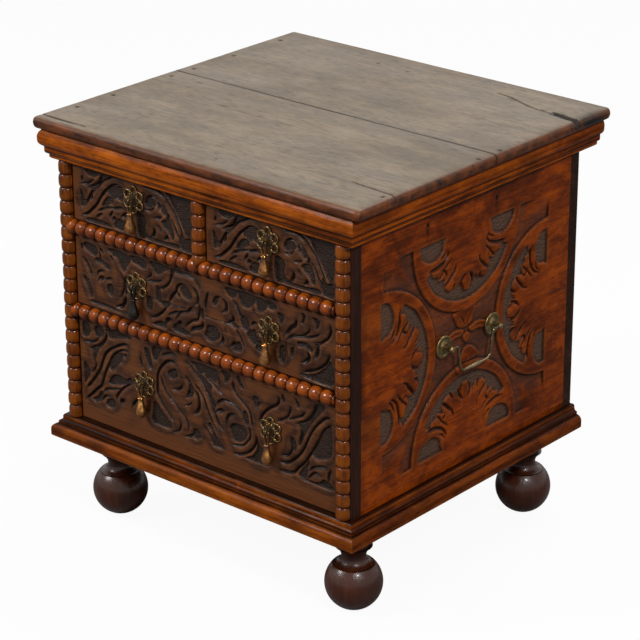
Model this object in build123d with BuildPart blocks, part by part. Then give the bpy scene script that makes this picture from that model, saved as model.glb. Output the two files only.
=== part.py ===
from build123d import *
import os

os.makedirs("parts", exist_ok=True)

# A small oak chest of drawers: two short drawers over two long ones, on ball feet.
# Millimetres, +Z up, X across the front, the front faces -Y, the floor is Z = 0.
# The origin is under the middle of the top.

# Carcass
body_width = 447
body_depth = 420
side_overhang = 26.5
front_overhang = 19
rear_overhang = 27
top_thickness = 15
side_thickness = 20
stile_width = 20
frame_depth = 18
back_thickness = 16
back_board_count = 3
bottom_thickness = 16
foot_height = 110

# Heights up the front, from the underside of the base to the underside of the top
bottom_rail_height = 31
bottom_opening = 131.5
middle_opening = 87.5
top_opening = 71.5
rail_height = 19
top_rail_height = 35.5
divider_thickness = 20

# Joinery
tenon_length = 9
tenon_thickness = 6
tenon_shoulder = 3.5
plank_gap = 0.8
plank_joint_y = 8
nosing_radius = 6.5
runner_width = 14

# Mouldings
cornice_reach = 18
cornice_rear_inset = 3
cornice_foot_chamfer = 1.5
cornice_foot_height = 5.5
cornice_cove_radius = 5
cornice_cove_height = 3.5
cornice_cove_spread = 4
cornice_fillet_height = 6
cornice_roll_reach = 5.5
cornice_roll_rise = 9
cornice_roll_return = 4
base_reach = 18
base_toe_radius = 3
base_face_height = 10
base_thumb_radius = 7
base_fillet_height = 3.5
base_cove_radius = 4
base_astragal_height = 4.5
base_astragal_swell = 0.5
base_astragal_return = 1.5

# Split-turned bead strips
bead_pitch = 16.5
bead_end_length = 4
bead_end_rise = 1.5

# Drawers
drawer_gap = 0.8
drawer_foot_gap = 0.5
drawer_rear_gap = 5
front_thickness = 17
front_lap = 5
drawer_side_thickness = 9
drawer_back_thickness = 9
drawer_bottom_thickness = 7
drawer_bottom_rebate = 8
tail_spacing = 42
tail_flare = 1 / 6
pin_width = 8

# Pear-drop pulls: a pierced rosette, a split pin and a swinging drop
rosette_radius = 17.2
rosette_thickness = 1.5
lobe_count = 6
lobe_radius = 5.8
lobe_hole_radius = 2.6
boss_radius = 7
boss_height = 0.8
boss_taper = 30
pivot_reach = 8
pin_wire = 1.5
pin_leg_spacing = 2
pin_hole_gap = 0.3
pin_tail_length = 7
pin_bend_radius = 1
drop_bar_radius = 1.2
drop_bar_gap = 0.35
drop_loop_width = 9.4
drop_loop_neck = 5.6
drop_loop_wire = 2
drop_loop_length = 14.5
drop_length = 41
drop_radius = 6
drop_belly_rise = 6.7
drop_neck_radius = 2.6
drop_collar_radius = 3.6
drop_collar_height = 2.8

# Where the pulls sit: their height above the middle of the opening, and how far each stands from its
# own drawer's middle, since they were set by eye
top_pull_rise = 12.2
middle_pull_rise = 4.2
bottom_pull_rise = 9.4
top_left_pull_x = 4.7
top_right_pull_x = -1.7
middle_left_pull_x = -101.5
middle_right_pull_x = 105
bottom_left_pull_x = -94
bottom_right_pull_x = 106

# Bail handles on the sides
bail_span = 90.6
bail_y = -5
bail_height = 298
post_reach = 12
post_neck_radius = 2.4
post_ball_radius = 4
post_collar_radius = 4.2
post_collar_thickness = 1.4
post_screw_length = 16
rose_radius = 13.8
rose_thickness = 3
rose_rim_width = 3.6
rose_rim_height = 2.2
rose_hole_gap = 0.1
bail_wire = 3.4
bail_pin_gap = 0.1
bail_shoulder = 12
bail_drop = 33
bail_leg_inset = 18
bail_neck_bend = 3
bail_corner_radius = 8
bail_end_length = 1.5

# Feet
ball_radius = 34.2
foot_flat_radius = 8
cap_rise = 23.3
cap_groove_depth = 0.8
cap_height = 9.5
cap_crown = 2.4
foot_neck_radius = 14.5
foot_neck_height = 2
ovolo_height = 14
ovolo_radius = 22
ovolo_crown = 1.6
foot_waist_radius = 18.5
waist_hollow = 2
foot_pad_radius = 24
foot_pad_height = 6
foot_tenon_radius = 9
foot_inset = 34.1
foot_front_inset = 46.5
foot_rear_inset = 46.6

# Levels and faces worked out from the sizes above
front_y = front_overhang - (body_depth + front_overhang + rear_overhang) / 2
back_y = front_y + body_depth
half_body = body_width / 2
inner_x = half_body - side_thickness
stile_x = half_body - stile_width
stile_centre = half_body - stile_width / 2
frame_back = front_y + frame_depth
back_inner_y = back_y - back_thickness
top_front = front_y - front_overhang
top_rear = back_y + rear_overhang
base_z = foot_height
base_height = base_face_height + base_thumb_radius + base_fillet_height + base_cove_radius + base_astragal_height
base_top_z = base_z + base_height
bottom_open_z = base_z + bottom_rail_height
lower_rail_z = bottom_open_z + bottom_opening
middle_open_z = lower_rail_z + rail_height
upper_rail_z = middle_open_z + middle_opening
top_open_z = upper_rail_z + rail_height
cornice_z = top_open_z + top_opening
top_z = cornice_z + top_rail_height
bead_radius = rail_height / 2
lower_bead_z = lower_rail_z + bead_radius
upper_bead_z = upper_rail_z + bead_radius
pivot_y = front_y - pivot_reach
pin_eye_radius = drop_bar_radius + drop_bar_gap + pin_wire / 2


def finish(builder, name):
    """Labels a finished piece and writes it."""
    builder.part.label = name
    export_step(builder.part, f"parts/{name}.step")


def block(x_low, x_high, y_low, y_high, z_low, z_high, mode=Mode.ADD):
    """A rectangular board between its six faces."""
    with Locations(((x_low + x_high) / 2, (y_low + y_high) / 2, (z_low + z_high) / 2)):
        Box(x_high - x_low, y_high - y_low, z_high - z_low, mode=mode)


# ---------------------------------------------------------------- carcass boards

frame_rails = {
    "bottom_rail": (base_z, bottom_open_z),
    "lower": (lower_rail_z, middle_open_z),
    "upper": (upper_rail_z, top_open_z),
    "top_rail": (cornice_z, top_z),
}
tenon_middle_y = (front_y + frame_back) / 2


def rail_tenon(side, z_low, z_high, mode):
    """The stub tenon at one end of a rail, or its mortise in the stile."""
    inner, outer = sorted((side * stile_x, side * (stile_x + tenon_length)))
    block(
        inner,
        outer,
        tenon_middle_y - tenon_thickness / 2,
        tenon_middle_y + tenon_thickness / 2,
        z_low + tenon_shoulder,
        z_high - tenon_shoulder,
        mode,
    )


def rail(z_low, z_high):
    """A front rail with a tenon at both ends."""
    block(-stile_x, stile_x, front_y, frame_back, z_low, z_high)
    for side in (-1, 1):
        rail_tenon(side, z_low, z_high, Mode.ADD)


for side, name in ((-1, "left_side_board"), (1, "right_side_board")):
    with BuildPart() as side_board:
        inner, outer = sorted((side * inner_x, side * half_body))
        block(inner, outer, frame_back, back_inner_y, base_z, top_z)
        # blind holes for the screws of the two handle posts
        hole_plane = Plane(origin=(side * half_body, bail_y, bail_height), x_dir=(0, 1, 0), z_dir=(side, 0, 0))
        with BuildSketch(hole_plane):
            with Locations((-bail_span / 2, 0), (bail_span / 2, 0)):
                Circle(post_neck_radius)
        extrude(amount=-post_screw_length, mode=Mode.SUBTRACT)
    finish(side_board, name)

with BuildPart() as front_stiles:
    for side in (-1, 1):
        inner, outer = sorted((side * stile_x, side * half_body))
        block(inner, outer, front_y, frame_back, base_z, top_z)
        for z_low, z_high in frame_rails.values():
            rail_tenon(side, z_low, z_high, Mode.SUBTRACT)
finish(front_stiles, "front_stiles")

with BuildPart() as drawer_rails:
    rail(*frame_rails["lower"])
    rail(*frame_rails["upper"])
finish(drawer_rails, "drawer_rails")

for name in ("top_rail", "bottom_rail"):
    with BuildPart() as end_rail:
        rail(*frame_rails[name])
    finish(end_rail, name)

with BuildPart() as back_boards:
    board_height = (top_z - base_z) / back_board_count
    for index in range(back_board_count):
        board_z = base_z + index * board_height
        block(-half_body, half_body, back_inner_y, back_y, board_z, board_z + board_height)
finish(back_boards, "back_boards")

foot_places = {
    "front_left_foot": (-half_body + foot_inset, front_y + foot_front_inset),
    "front_right_foot": (half_body - foot_inset, front_y + foot_front_inset),
    "rear_left_foot": (-half_body + foot_inset, back_y - foot_rear_inset),
    "rear_right_foot": (half_body - foot_inset, back_y - foot_rear_inset),
}

with BuildPart() as bottom_board:
    block(-inner_x, inner_x, frame_back, back_inner_y, base_z, base_z + bottom_thickness)
    # sockets for the foot tenons
    with BuildSketch(Plane.XY.offset(base_z)):
        with Locations(*foot_places.values()):
            Circle(foot_tenon_radius)
    extrude(amount=bottom_thickness, mode=Mode.SUBTRACT)
finish(bottom_board, "bottom_board")

with BuildPart() as drawer_divider:
    # an upright board that notches under the top rail
    with BuildSketch(Plane.YZ.offset(-divider_thickness / 2)):
        Polygon(
            (front_y, top_open_z),
            (back_inner_y, top_open_z),
            (back_inner_y, top_z),
            (frame_back, top_z),
            (frame_back, cornice_z),
            (front_y, cornice_z),
            align=None,
        )
    extrude(amount=divider_thickness)
finish(drawer_divider, "drawer_divider")

with BuildPart() as drawer_runners:
    for z_low, z_high in (
        (base_z + bottom_thickness, bottom_open_z),
        (lower_rail_z, middle_open_z),
        (upper_rail_z, top_open_z),
    ):
        for side in (-1, 1):
            inner, outer = sorted((side * (inner_x - runner_width), side * inner_x))
            block(inner, outer, frame_back, back_inner_y, z_low, z_high)
    bearer_half = divider_thickness / 2 + runner_width
    block(-bearer_half, bearer_half, frame_back, back_inner_y, upper_rail_z, top_open_z)
finish(drawer_runners, "drawer_runners")

# ---------------------------------------------------------------- top planks

half_top = half_body + side_overhang

for name, y_low, y_high, outer_face in (
    ("front_top_board", top_front, plank_joint_y - plank_gap / 2, Axis.Y),
    ("rear_top_board", plank_joint_y + plank_gap / 2, top_rear, -Axis.Y),
):
    with BuildPart() as plank:
        block(-half_top, half_top, y_low, y_high, top_z, top_z + top_thickness)
        # the nosing runs round the three outer edges, not along the joint
        joint_face = plank.faces().sort_by(outer_face)[-1]
        rims = plank.faces().sort_by(Axis.Z)[-1].edges() + plank.faces().sort_by(Axis.Z)[0].edges()
        fillet([rim for rim in rims if rim not in joint_face.edges()], nosing_radius)
    finish(plank, name)

# ---------------------------------------------------------------- mitred mouldings


def cornice_section(plane):
    """Cornice, outwards along the plane's X: small step, cove, fillet and a fat roll."""
    fillet_edge = cornice_reach - cornice_roll_reach
    step = fillet_edge - cornice_cove_spread
    foot_top = cornice_z + cornice_foot_height
    cove_top = foot_top + cornice_cove_height
    roll_foot = cove_top + cornice_fillet_height
    roll_crest = (cornice_reach, roll_foot + cornice_roll_rise)
    roll_top = (cornice_reach - cornice_roll_return, top_z)
    chamfer = cornice_foot_chamfer
    with BuildSketch(plane) as section:
        with BuildLine():
            Polyline((0, top_z), (0, cornice_z), (step - chamfer, cornice_z), (step, cornice_z + chamfer))
            Line((step, cornice_z + chamfer), (step, foot_top))
            RadiusArc((step, foot_top), (fillet_edge, cove_top), cornice_cove_radius)
            Line((fillet_edge, cove_top), (fillet_edge, roll_foot))
            ThreePointArc((fillet_edge, roll_foot), roll_crest, roll_top)
            Line(roll_top, (0, top_z))
        make_face()
    return section.sketch


def base_section(plane):
    """Base, outwards along the plane's X: astragal, cove, fillet, thumbnail, rounded toe."""
    toe = base_toe_radius
    fillet_edge = base_reach - base_thumb_radius
    quirk = fillet_edge - base_cove_radius
    thumb_foot = base_z + base_face_height
    thumb_top = thumb_foot + base_thumb_radius
    cove_foot = thumb_top + base_fillet_height
    cove_top = cove_foot + base_cove_radius
    crest = (quirk + base_astragal_swell, (cove_top + base_top_z) / 2)
    astragal_top = (quirk - base_astragal_return, base_top_z)
    with BuildSketch(plane) as section:
        with BuildLine():
            Polyline((0, base_top_z), (0, base_z), (base_reach - toe, base_z))
            RadiusArc((base_reach - toe, base_z), (base_reach, base_z + toe), -toe)
            Line((base_reach, base_z + toe), (base_reach, thumb_foot))
            RadiusArc((base_reach, thumb_foot), (fillet_edge, thumb_top), -base_thumb_radius)
            Line((fillet_edge, thumb_top), (fillet_edge, cove_foot))
            RadiusArc((fillet_edge, cove_foot), (quirk, cove_top), base_cove_radius)
            ThreePointArc((quirk, cove_top), crest, astragal_top)
            Line(astragal_top, (0, base_top_z))
        make_face()
    return section.sketch


mitres = {
    -1: Plane(origin=(-half_body, front_y, 0), z_dir=(1, -1, 0)),
    1: Plane(origin=(half_body, front_y, 0), z_dir=(-1, -1, 0)),
}
rear_ends = {"cornice": top_rear - cornice_rear_inset, "base_moulding": back_y}
sections = {"cornice": (cornice_section, cornice_reach), "base_moulding": (base_section, base_reach)}

for kind, (section, reach) in sections.items():
    with BuildPart() as front_run:
        start = (half_body + reach, front_y, 0)
        front_plane = Plane(origin=start, x_dir=(0, -1, 0), z_dir=(-1, 0, 0))
        extrude(section(front_plane), amount=body_width + 2 * reach)
        for mitre in mitres.values():
            split(bisect_by=mitre, keep=Keep.TOP)
    finish(front_run, f"front_{kind}")

    for side, name in ((-1, "left"), (1, "right")):
        with BuildPart() as side_run:
            start = (side * half_body, rear_ends[kind], 0)
            side_plane = Plane(origin=start, x_dir=(side, 0, 0), z_dir=(0, -side, 0))
            extrude(section(side_plane), amount=side * (rear_ends[kind] - front_y + reach))
            split(bisect_by=mitres[side], keep=Keep.BOTTOM)
        finish(side_run, f"{name}_{kind}")

# ---------------------------------------------------------------- bead strips


def bead_section(plane, length, end_length):
    """Half section of a turned string of beads, along the plane's X from 0.

    Each bead is a slice of a ball that ends at two grooves; a shorter bead may fill the far end."""
    count = max(1, round((length - end_length) / bead_pitch))
    pitch = (length - end_length) / count
    groove = (bead_radius**2 - (pitch / 2) ** 2) ** 0.5
    with BuildSketch(plane) as section:
        with BuildLine():
            for index in range(count):
                near, far = index * pitch, (index + 1) * pitch
                ThreePointArc((near, groove), ((near + far) / 2, bead_radius), (far, groove))
            if end_length:
                crest = (length - end_length / 2, groove + bead_end_rise)
                ThreePointArc((length - end_length, groove), crest, (length, groove))
            Polyline((length, groove), (length, 0), (0, 0), (0, groove))
        make_face()
    return section.sketch


def bead_strip(start, direction, length, end_length=0.0):
    """A half-round strip whose flat back lies on the front of the frame."""
    plane = Plane(origin=start, x_dir=direction, z_dir=(0, -1, 0))
    revolve(bead_section(plane, length, end_length), axis=Axis(start, direction), revolution_arc=180)


def vee(tip, direction, reach, mode):
    """A right-angled V that opens from its tip and runs past the strips' crests and ends."""
    with BuildSketch(Plane(origin=tip, x_dir=direction, z_dir=(0, -1, 0))) as wedge:
        Polygon((0, 0), (reach, -reach), (reach, reach), align=None)
    extrude(wedge.sketch, amount=2 * bead_radius, mode=mode)


notch_reach = 2 * bead_radius
upper_tip = (-stile_centre, front_y, upper_bead_z)
lower_tip = (-stile_centre, front_y, lower_bead_z)
centre_tip = (0, front_y, upper_bead_z)
rail_strip_length = 2 * stile_centre - bead_radius

with BuildPart() as stile_bead_strips:
    for side in (-1, 1):
        start = (side * stile_centre, front_y, base_top_z)
        bead_strip(start, (0, 0, 1), cornice_z - base_top_z)
    for tip in (upper_tip, lower_tip):
        vee(tip, (1, 0, 0), notch_reach, Mode.SUBTRACT)
finish(stile_bead_strips, "stile_bead_strips")

with BuildPart() as centre_bead_strip:
    bead_strip(centre_tip, (0, 0, 1), cornice_z - upper_bead_z)
    vee(centre_tip, (0, 0, 1), cornice_z - upper_bead_z + bead_radius, Mode.INTERSECT)
finish(centre_bead_strip, "centre_bead_strip")

with BuildPart() as upper_bead_strip:
    bead_strip(upper_tip, (1, 0, 0), rail_strip_length, bead_end_length)
    vee(upper_tip, (1, 0, 0), 2 * stile_centre, Mode.INTERSECT)
    vee(centre_tip, (0, 0, 1), notch_reach, Mode.SUBTRACT)
finish(upper_bead_strip, "upper_bead_strip")

with BuildPart() as lower_bead_strip:
    bead_strip(lower_tip, (1, 0, 0), rail_strip_length, bead_end_length)
    vee(lower_tip, (1, 0, 0), 2 * stile_centre, Mode.INTERSECT)
finish(lower_bead_strip, "lower_bead_strip")

# ---------------------------------------------------------------- feet

ball_z = (ball_radius**2 - foot_flat_radius**2) ** 0.5
cap_z = ball_z + cap_rise
cap_radius = (ball_radius**2 - cap_rise**2) ** 0.5
neck_z = cap_z + cap_height
ovolo_z = neck_z + ovolo_height
pad_z = foot_height - foot_pad_height


def foot_section(plane):
    """Foot from the floor up: ball, incised cap, neck, ovolo, waist, pad and tenon."""
    lip = cap_radius - cap_groove_depth
    lip_z = cap_z + cap_groove_depth
    neck_top = neck_z + foot_neck_height
    waist_z = (ovolo_z + pad_z) / 2
    tenon_z = foot_height + bottom_thickness
    with BuildSketch(plane) as section:
        with BuildLine():
            Line((0, 0), (foot_flat_radius, 0))
            ThreePointArc((foot_flat_radius, 0), (ball_radius, ball_z), (cap_radius, cap_z))
            Polyline((cap_radius, cap_z), (lip - cap_groove_depth, cap_z), (lip, lip_z))
            SagittaArc((lip, lip_z), (foot_neck_radius, neck_z), cap_crown)
            Line((foot_neck_radius, neck_z), (foot_neck_radius, neck_top))
            SagittaArc((foot_neck_radius, neck_top), (ovolo_radius, ovolo_z), ovolo_crown)
            Polyline((ovolo_radius, ovolo_z), (foot_waist_radius, ovolo_z), (foot_waist_radius, waist_z))
            SagittaArc((foot_waist_radius, waist_z), (foot_pad_radius, pad_z), -waist_hollow)
            Polyline(
                (foot_pad_radius, pad_z),
                (foot_pad_radius, foot_height),
                (foot_tenon_radius, foot_height),
                (foot_tenon_radius, tenon_z),
                (0, tenon_z),
                (0, 0),
            )
        make_face()
    return section.sketch


for name, (x, y) in foot_places.items():
    with BuildPart() as foot:
        foot_plane = Plane(origin=(x, y, 0), x_dir=(1, 0, 0), z_dir=(0, -1, 0))
        revolve(foot_section(foot_plane), axis=Axis((x, y, 0), (0, 0, 1)))
    finish(foot, name)

# ---------------------------------------------------------------- drawers

half_divider = divider_thickness / 2
front_inner_y = front_y + front_thickness
drawer_rear_y = back_inner_y - drawer_rear_gap
drawer_back_y = drawer_rear_y - drawer_back_thickness
pin_hole_radius = (pin_leg_spacing + pin_wire) / 2 + pin_hole_gap

# Each drawer: its opening, how far its pulls stand above the middle, and each pull's place across
drawers = {
    "top_left_drawer": (
        (-stile_x, -half_divider, top_open_z, cornice_z),
        top_pull_rise,
        {"top_left": top_left_pull_x},
    ),
    "top_right_drawer": (
        (half_divider, stile_x, top_open_z, cornice_z),
        top_pull_rise,
        {"top_right": top_right_pull_x},
    ),
    "middle_drawer": (
        (-stile_x, stile_x, middle_open_z, upper_rail_z),
        middle_pull_rise,
        {"middle_left": middle_left_pull_x, "middle_right": middle_right_pull_x},
    ),
    "bottom_drawer": (
        (-stile_x, stile_x, bottom_open_z, lower_rail_z),
        bottom_pull_rise,
        {"bottom_left": bottom_left_pull_x, "bottom_right": bottom_right_pull_x},
    ),
}


def dovetails(z_low, z_high, root_y, tip_y):
    """The tails on one end of a drawer side, each wider at its tip than at its root."""
    count = max(1, round((z_high - z_low) / tail_spacing))
    pitch = (z_high - z_low) / count
    half = (pitch - pin_width) / 2
    flare = abs(tip_y - root_y) * tail_flare
    for index in range(count):
        middle = z_low + (index + 0.5) * pitch
        Polygon(
            (root_y, middle - half + flare),
            (tip_y, middle - half),
            (tip_y, middle + half),
            (root_y, middle + half - flare),
            align=None,
        )


def pear_section(plane):
    """Half section of a drop below its pivot: pointed pear, neck and collar."""
    collar_top = -drop_loop_length
    collar_foot = collar_top - drop_collar_height
    belly = -drop_length + drop_belly_rise
    shoulder = ((drop_radius + drop_neck_radius) / 2, (belly + collar_foot) / 2)
    collar_crest = (drop_collar_radius, (collar_foot + collar_top) / 2)
    with BuildSketch(plane) as section:
        with BuildLine():
            Spline(
                (0, -drop_length),
                (drop_radius, belly),
                shoulder,
                (drop_neck_radius, collar_foot),
                tangents=((1, 0), (0, 1)),
            )
            ThreePointArc((drop_neck_radius, collar_foot), collar_crest, (drop_neck_radius, collar_top))
            Polyline((drop_neck_radius, collar_top), (0, collar_top), (0, -drop_length))
        make_face()
    return section.sketch


def loop_section(plane):
    """The stirrup above a drop's collar, tapering down from the pivot bar."""
    foot = -drop_loop_length - drop_loop_wire / 2
    inner_foot = -drop_loop_length + drop_loop_wire
    half_width, half_neck = drop_loop_width / 2, drop_loop_neck / 2
    inner_width, inner_neck = half_width - drop_loop_wire, half_neck - drop_loop_wire
    with BuildSketch(plane) as section:
        Polygon((-half_neck, foot), (half_neck, foot), (half_width, 0), (-half_width, 0), align=None)
        Polygon(
            (-inner_neck, inner_foot),
            (inner_neck, inner_foot),
            (inner_width, 0),
            (-inner_width, 0),
            align=None,
            mode=Mode.SUBTRACT,
        )
    return section.sketch


for drawer, (opening, pull_rise, pulls) in drawers.items():
    x_low, x_high, z_low, z_high = opening
    left, right, head = x_low + drawer_gap, x_high - drawer_gap, z_high - drawer_gap
    floor_z = z_low + drawer_bottom_thickness
    middle_x, pull_z = (x_low + x_high) / 2, (z_low + z_high) / 2 + pull_rise
    places = {pull: (middle_x + across, pull_z) for pull, across in pulls.items()}
    side_starts = (left, right - drawer_side_thickness)

    with BuildPart() as drawer_front:
        block(left, right, front_y, front_inner_y, z_low + drawer_foot_gap, head)
        # rebate that takes the front edge of the bottom
        block(left, right, front_inner_y - drawer_bottom_rebate, front_inner_y, z_low, floor_z, Mode.SUBTRACT)
        for side_x in side_starts:
            with BuildSketch(Plane.YZ.offset(side_x)):
                dovetails(floor_z, head, front_inner_y, front_y + front_lap)
            extrude(amount=drawer_side_thickness, mode=Mode.SUBTRACT)
        with BuildSketch(Plane(origin=(0, front_y, 0), x_dir=(1, 0, 0), z_dir=(0, -1, 0))):
            with Locations(*places.values()):
                Circle(pin_hole_radius)
        extrude(amount=-front_thickness, mode=Mode.SUBTRACT)
    finish(drawer_front, f"{drawer}_front")

    with BuildPart() as drawer_sides:
        for side_x in side_starts:
            with BuildSketch(Plane.YZ.offset(side_x)):
                middle = ((front_inner_y + drawer_back_y) / 2, (floor_z + head) / 2)
                with Locations(middle):
                    Rectangle(drawer_back_y - front_inner_y, head - floor_z)
                dovetails(floor_z, head, front_inner_y, front_y + front_lap)
                dovetails(floor_z, head, drawer_back_y, drawer_rear_y)
            extrude(amount=drawer_side_thickness)
    finish(drawer_sides, f"{drawer}_sides")

    with BuildPart() as drawer_back:
        block(left, right, drawer_back_y, drawer_rear_y, floor_z, head)
        for side_x in side_starts:
            with BuildSketch(Plane.YZ.offset(side_x)):
                dovetails(floor_z, head, drawer_back_y, drawer_rear_y)
            extrude(amount=drawer_side_thickness, mode=Mode.SUBTRACT)
    finish(drawer_back, f"{drawer}_back")

    with BuildPart() as drawer_bottom:
        block(left, right, front_inner_y - drawer_bottom_rebate, drawer_rear_y, z_low, floor_z)
    finish(drawer_bottom, f"{drawer}_bottom")

    with BuildPart() as rosettes:
        for x, z in places.values():
            with BuildSketch(Plane(origin=(x, front_y, z), x_dir=(1, 0, 0), z_dir=(0, -1, 0))):
                lobe_circle = rosette_radius - lobe_radius
                Circle(lobe_circle)
                with PolarLocations(lobe_circle, lobe_count, start_angle=90):
                    Circle(lobe_radius)
                with PolarLocations(lobe_circle, lobe_count, start_angle=90):
                    Circle(lobe_hole_radius, mode=Mode.SUBTRACT)
            extrude(amount=rosette_thickness)
            with BuildSketch(Plane(origin=(x, front_y - rosette_thickness, z), z_dir=(0, -1, 0))):
                Circle(boss_radius)
            extrude(amount=boss_height, taper=boss_taper)
            with BuildSketch(Plane(origin=(x, front_y, z), z_dir=(0, -1, 0))):
                Circle(pin_hole_radius)
            extrude(amount=rosette_thickness + boss_height, mode=Mode.SUBTRACT)
    finish(rosettes, f"{drawer}_rosettes")

    with BuildPart() as split_pins:
        for x, z in places.values():
            with Locations((x, pivot_y, z)):
                Torus(pin_eye_radius, pin_wire / 2, rotation=(0, 90, 0))
            half_spacing = pin_leg_spacing / 2
            eye_back = pivot_y + (pin_eye_radius**2 - half_spacing**2) ** 0.5
            tail_y = front_inner_y + pin_wire / 2
            for way in (-1, 1):
                leg_z = z + way * half_spacing
                with BuildLine(Plane.YZ.offset(x)) as leg:
                    FilletPolyline(
                        (eye_back, leg_z),
                        (tail_y, leg_z),
                        (tail_y, leg_z + way * pin_tail_length),
                        radius=pin_bend_radius,
                    )
                with BuildSketch(Plane(origin=leg.line @ 0, z_dir=leg.line % 0)):
                    Circle(pin_wire / 2)
                sweep()
    finish(split_pins, f"{drawer}_split_pins")

    for pull, (x, z) in places.items():
        pivot_plane = Plane(origin=(x, pivot_y, z), x_dir=(1, 0, 0), z_dir=(0, -1, 0))
        with BuildPart() as drop:
            revolve(pear_section(pivot_plane), axis=Axis((x, pivot_y, z), (0, 0, 1)))
            extrude(loop_section(pivot_plane), amount=drop_loop_wire / 2, both=True)
            with Locations((x, pivot_y, z)):
                Cylinder(drop_bar_radius, drop_loop_width, rotation=(0, 90, 0))
        finish(drop, f"{pull}_drop")

# ---------------------------------------------------------------- side handles


def post_section(plane):
    """Half section of a handle post: screw, shank, collar and drilled ball."""
    ball_start = post_reach - (post_ball_radius**2 - post_neck_radius**2) ** 0.5
    ball_end = post_reach + post_ball_radius
    collar_end = rose_thickness + post_collar_thickness
    with BuildSketch(plane) as section:
        with BuildLine():
            Polyline(
                (-post_screw_length, 0),
                (-post_screw_length, post_neck_radius),
                (rose_thickness, post_neck_radius),
                (rose_thickness, post_collar_radius),
                (collar_end, post_collar_radius),
                (collar_end, post_neck_radius),
                (ball_start, post_neck_radius),
            )
            ThreePointArc((ball_start, post_neck_radius), (post_reach, post_ball_radius), (ball_end, 0))
            Line((ball_end, 0), (-post_screw_length, 0))
        make_face()
    return section.sketch


def rose_section(plane):
    """Half section of a rose: a rounded rim round a dish, rising to a centre boss."""
    hole = post_neck_radius + rose_hole_gap
    rim_inner = rose_radius - rose_rim_width
    rim_crest = (rose_rim_height, rose_radius - rose_rim_width / 3)
    dish = rose_rim_height / 2
    boss = post_collar_radius + rose_hole_gap
    with BuildSketch(plane) as section:
        with BuildLine():
            Polyline((0, hole), (0, rose_radius), (dish, rose_radius))
            ThreePointArc((dish, rose_radius), rim_crest, (dish, rim_inner))
            ThreePointArc((dish, rim_inner), (dish, (rim_inner + boss) / 2), (rose_thickness, boss))
            Polyline((rose_thickness, boss), (rose_thickness, hole), (0, hole))
        make_face()
    return section.sketch


def handle_axes():
    """Each handle post's centre on its side board, and its outward direction."""
    for side in (-1, 1):
        for end in (-1, 1):
            yield (side * half_body, bail_y + end * bail_span / 2, bail_height), (side, 0, 0)


with BuildPart() as side_handle_posts:
    for centre, outward in handle_axes():
        post_plane = Plane(origin=centre, x_dir=outward, z_dir=(0, -1, 0))
        revolve(post_section(post_plane), axis=Axis(centre, outward))
        # the cross hole that the bail's end turns in
        ball = (centre[0] + outward[0] * post_reach, centre[1], centre[2])
        with Locations(ball):
            Cylinder(bail_wire / 2 + bail_pin_gap, 3 * post_ball_radius, rotation=(90, 0, 0), mode=Mode.SUBTRACT)
finish(side_handle_posts, "side_handle_posts")

with BuildPart() as side_handle_roses:
    for centre, outward in handle_axes():
        rose_plane = Plane(origin=centre, x_dir=outward, z_dir=(0, -1, 0))
        revolve(rose_section(rose_plane), axis=Axis(centre, outward))
finish(side_handle_roses, "side_handle_roses")

bail_end_y = bail_span / 2 + post_ball_radius + bail_end_length
bail_shoulder_y = bail_span / 2 - bail_shoulder
bail_leg_y = bail_span / 2 - bail_leg_inset

for side, name in ((-1, "left_bail"), (1, "right_bail")):
    with BuildPart() as bail:
        hinge_line = (side * (half_body + post_reach), bail_y, bail_height)
        with BuildLine(Plane(origin=hinge_line, x_dir=(0, 1, 0), z_dir=(1, 0, 0))) as route:
            FilletPolyline(
                (-bail_end_y, 0),
                (-bail_shoulder_y, 0),
                (-bail_leg_y, -bail_drop),
                (bail_leg_y, -bail_drop),
                (bail_shoulder_y, 0),
                (bail_end_y, 0),
                radius=(bail_neck_bend, bail_corner_radius, bail_corner_radius, bail_neck_bend),
            )
        with BuildSketch(Plane(origin=route.line @ 0, z_dir=route.line % 0)):
            Circle(bail_wire / 2)
        sweep()
    finish(bail, name)
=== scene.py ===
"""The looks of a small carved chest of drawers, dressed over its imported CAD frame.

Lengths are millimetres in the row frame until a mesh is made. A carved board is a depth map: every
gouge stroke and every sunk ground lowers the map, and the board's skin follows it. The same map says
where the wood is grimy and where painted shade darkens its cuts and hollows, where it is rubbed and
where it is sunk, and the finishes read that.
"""

import math

import bmesh
import bpy
import numpy as np
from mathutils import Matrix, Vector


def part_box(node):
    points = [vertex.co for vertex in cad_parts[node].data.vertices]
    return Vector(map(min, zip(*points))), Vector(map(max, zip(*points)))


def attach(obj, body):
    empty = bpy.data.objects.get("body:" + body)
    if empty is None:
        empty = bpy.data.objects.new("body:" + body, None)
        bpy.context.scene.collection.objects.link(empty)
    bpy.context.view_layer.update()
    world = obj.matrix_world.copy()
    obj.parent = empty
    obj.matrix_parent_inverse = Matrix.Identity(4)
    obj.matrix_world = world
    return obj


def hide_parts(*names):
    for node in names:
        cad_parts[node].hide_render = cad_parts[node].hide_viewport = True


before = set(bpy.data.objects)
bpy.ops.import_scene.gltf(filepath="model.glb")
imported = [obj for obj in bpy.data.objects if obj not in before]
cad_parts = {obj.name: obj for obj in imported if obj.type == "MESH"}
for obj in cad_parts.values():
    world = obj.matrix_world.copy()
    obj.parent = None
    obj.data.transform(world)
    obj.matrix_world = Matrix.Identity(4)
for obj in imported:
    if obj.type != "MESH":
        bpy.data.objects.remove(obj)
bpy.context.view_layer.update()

MM = 0.001
ARRIS_ANGLE = math.radians(42)

# The size of the lattice under soft noise, how far from a cut the wood leans down to it, and how deep
# sunk ground lies
LATTICE = 128
LEAN_REACH = 6.0
GROUND_DEPTH = 2.8


def node_box(node):
    """Low and high corner of a CAD node, in millimetres."""
    low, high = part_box(node)
    return np.array(low) / MM, np.array(high) / MM


# ---------------------------------------------------------------- places read off the frame

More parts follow.
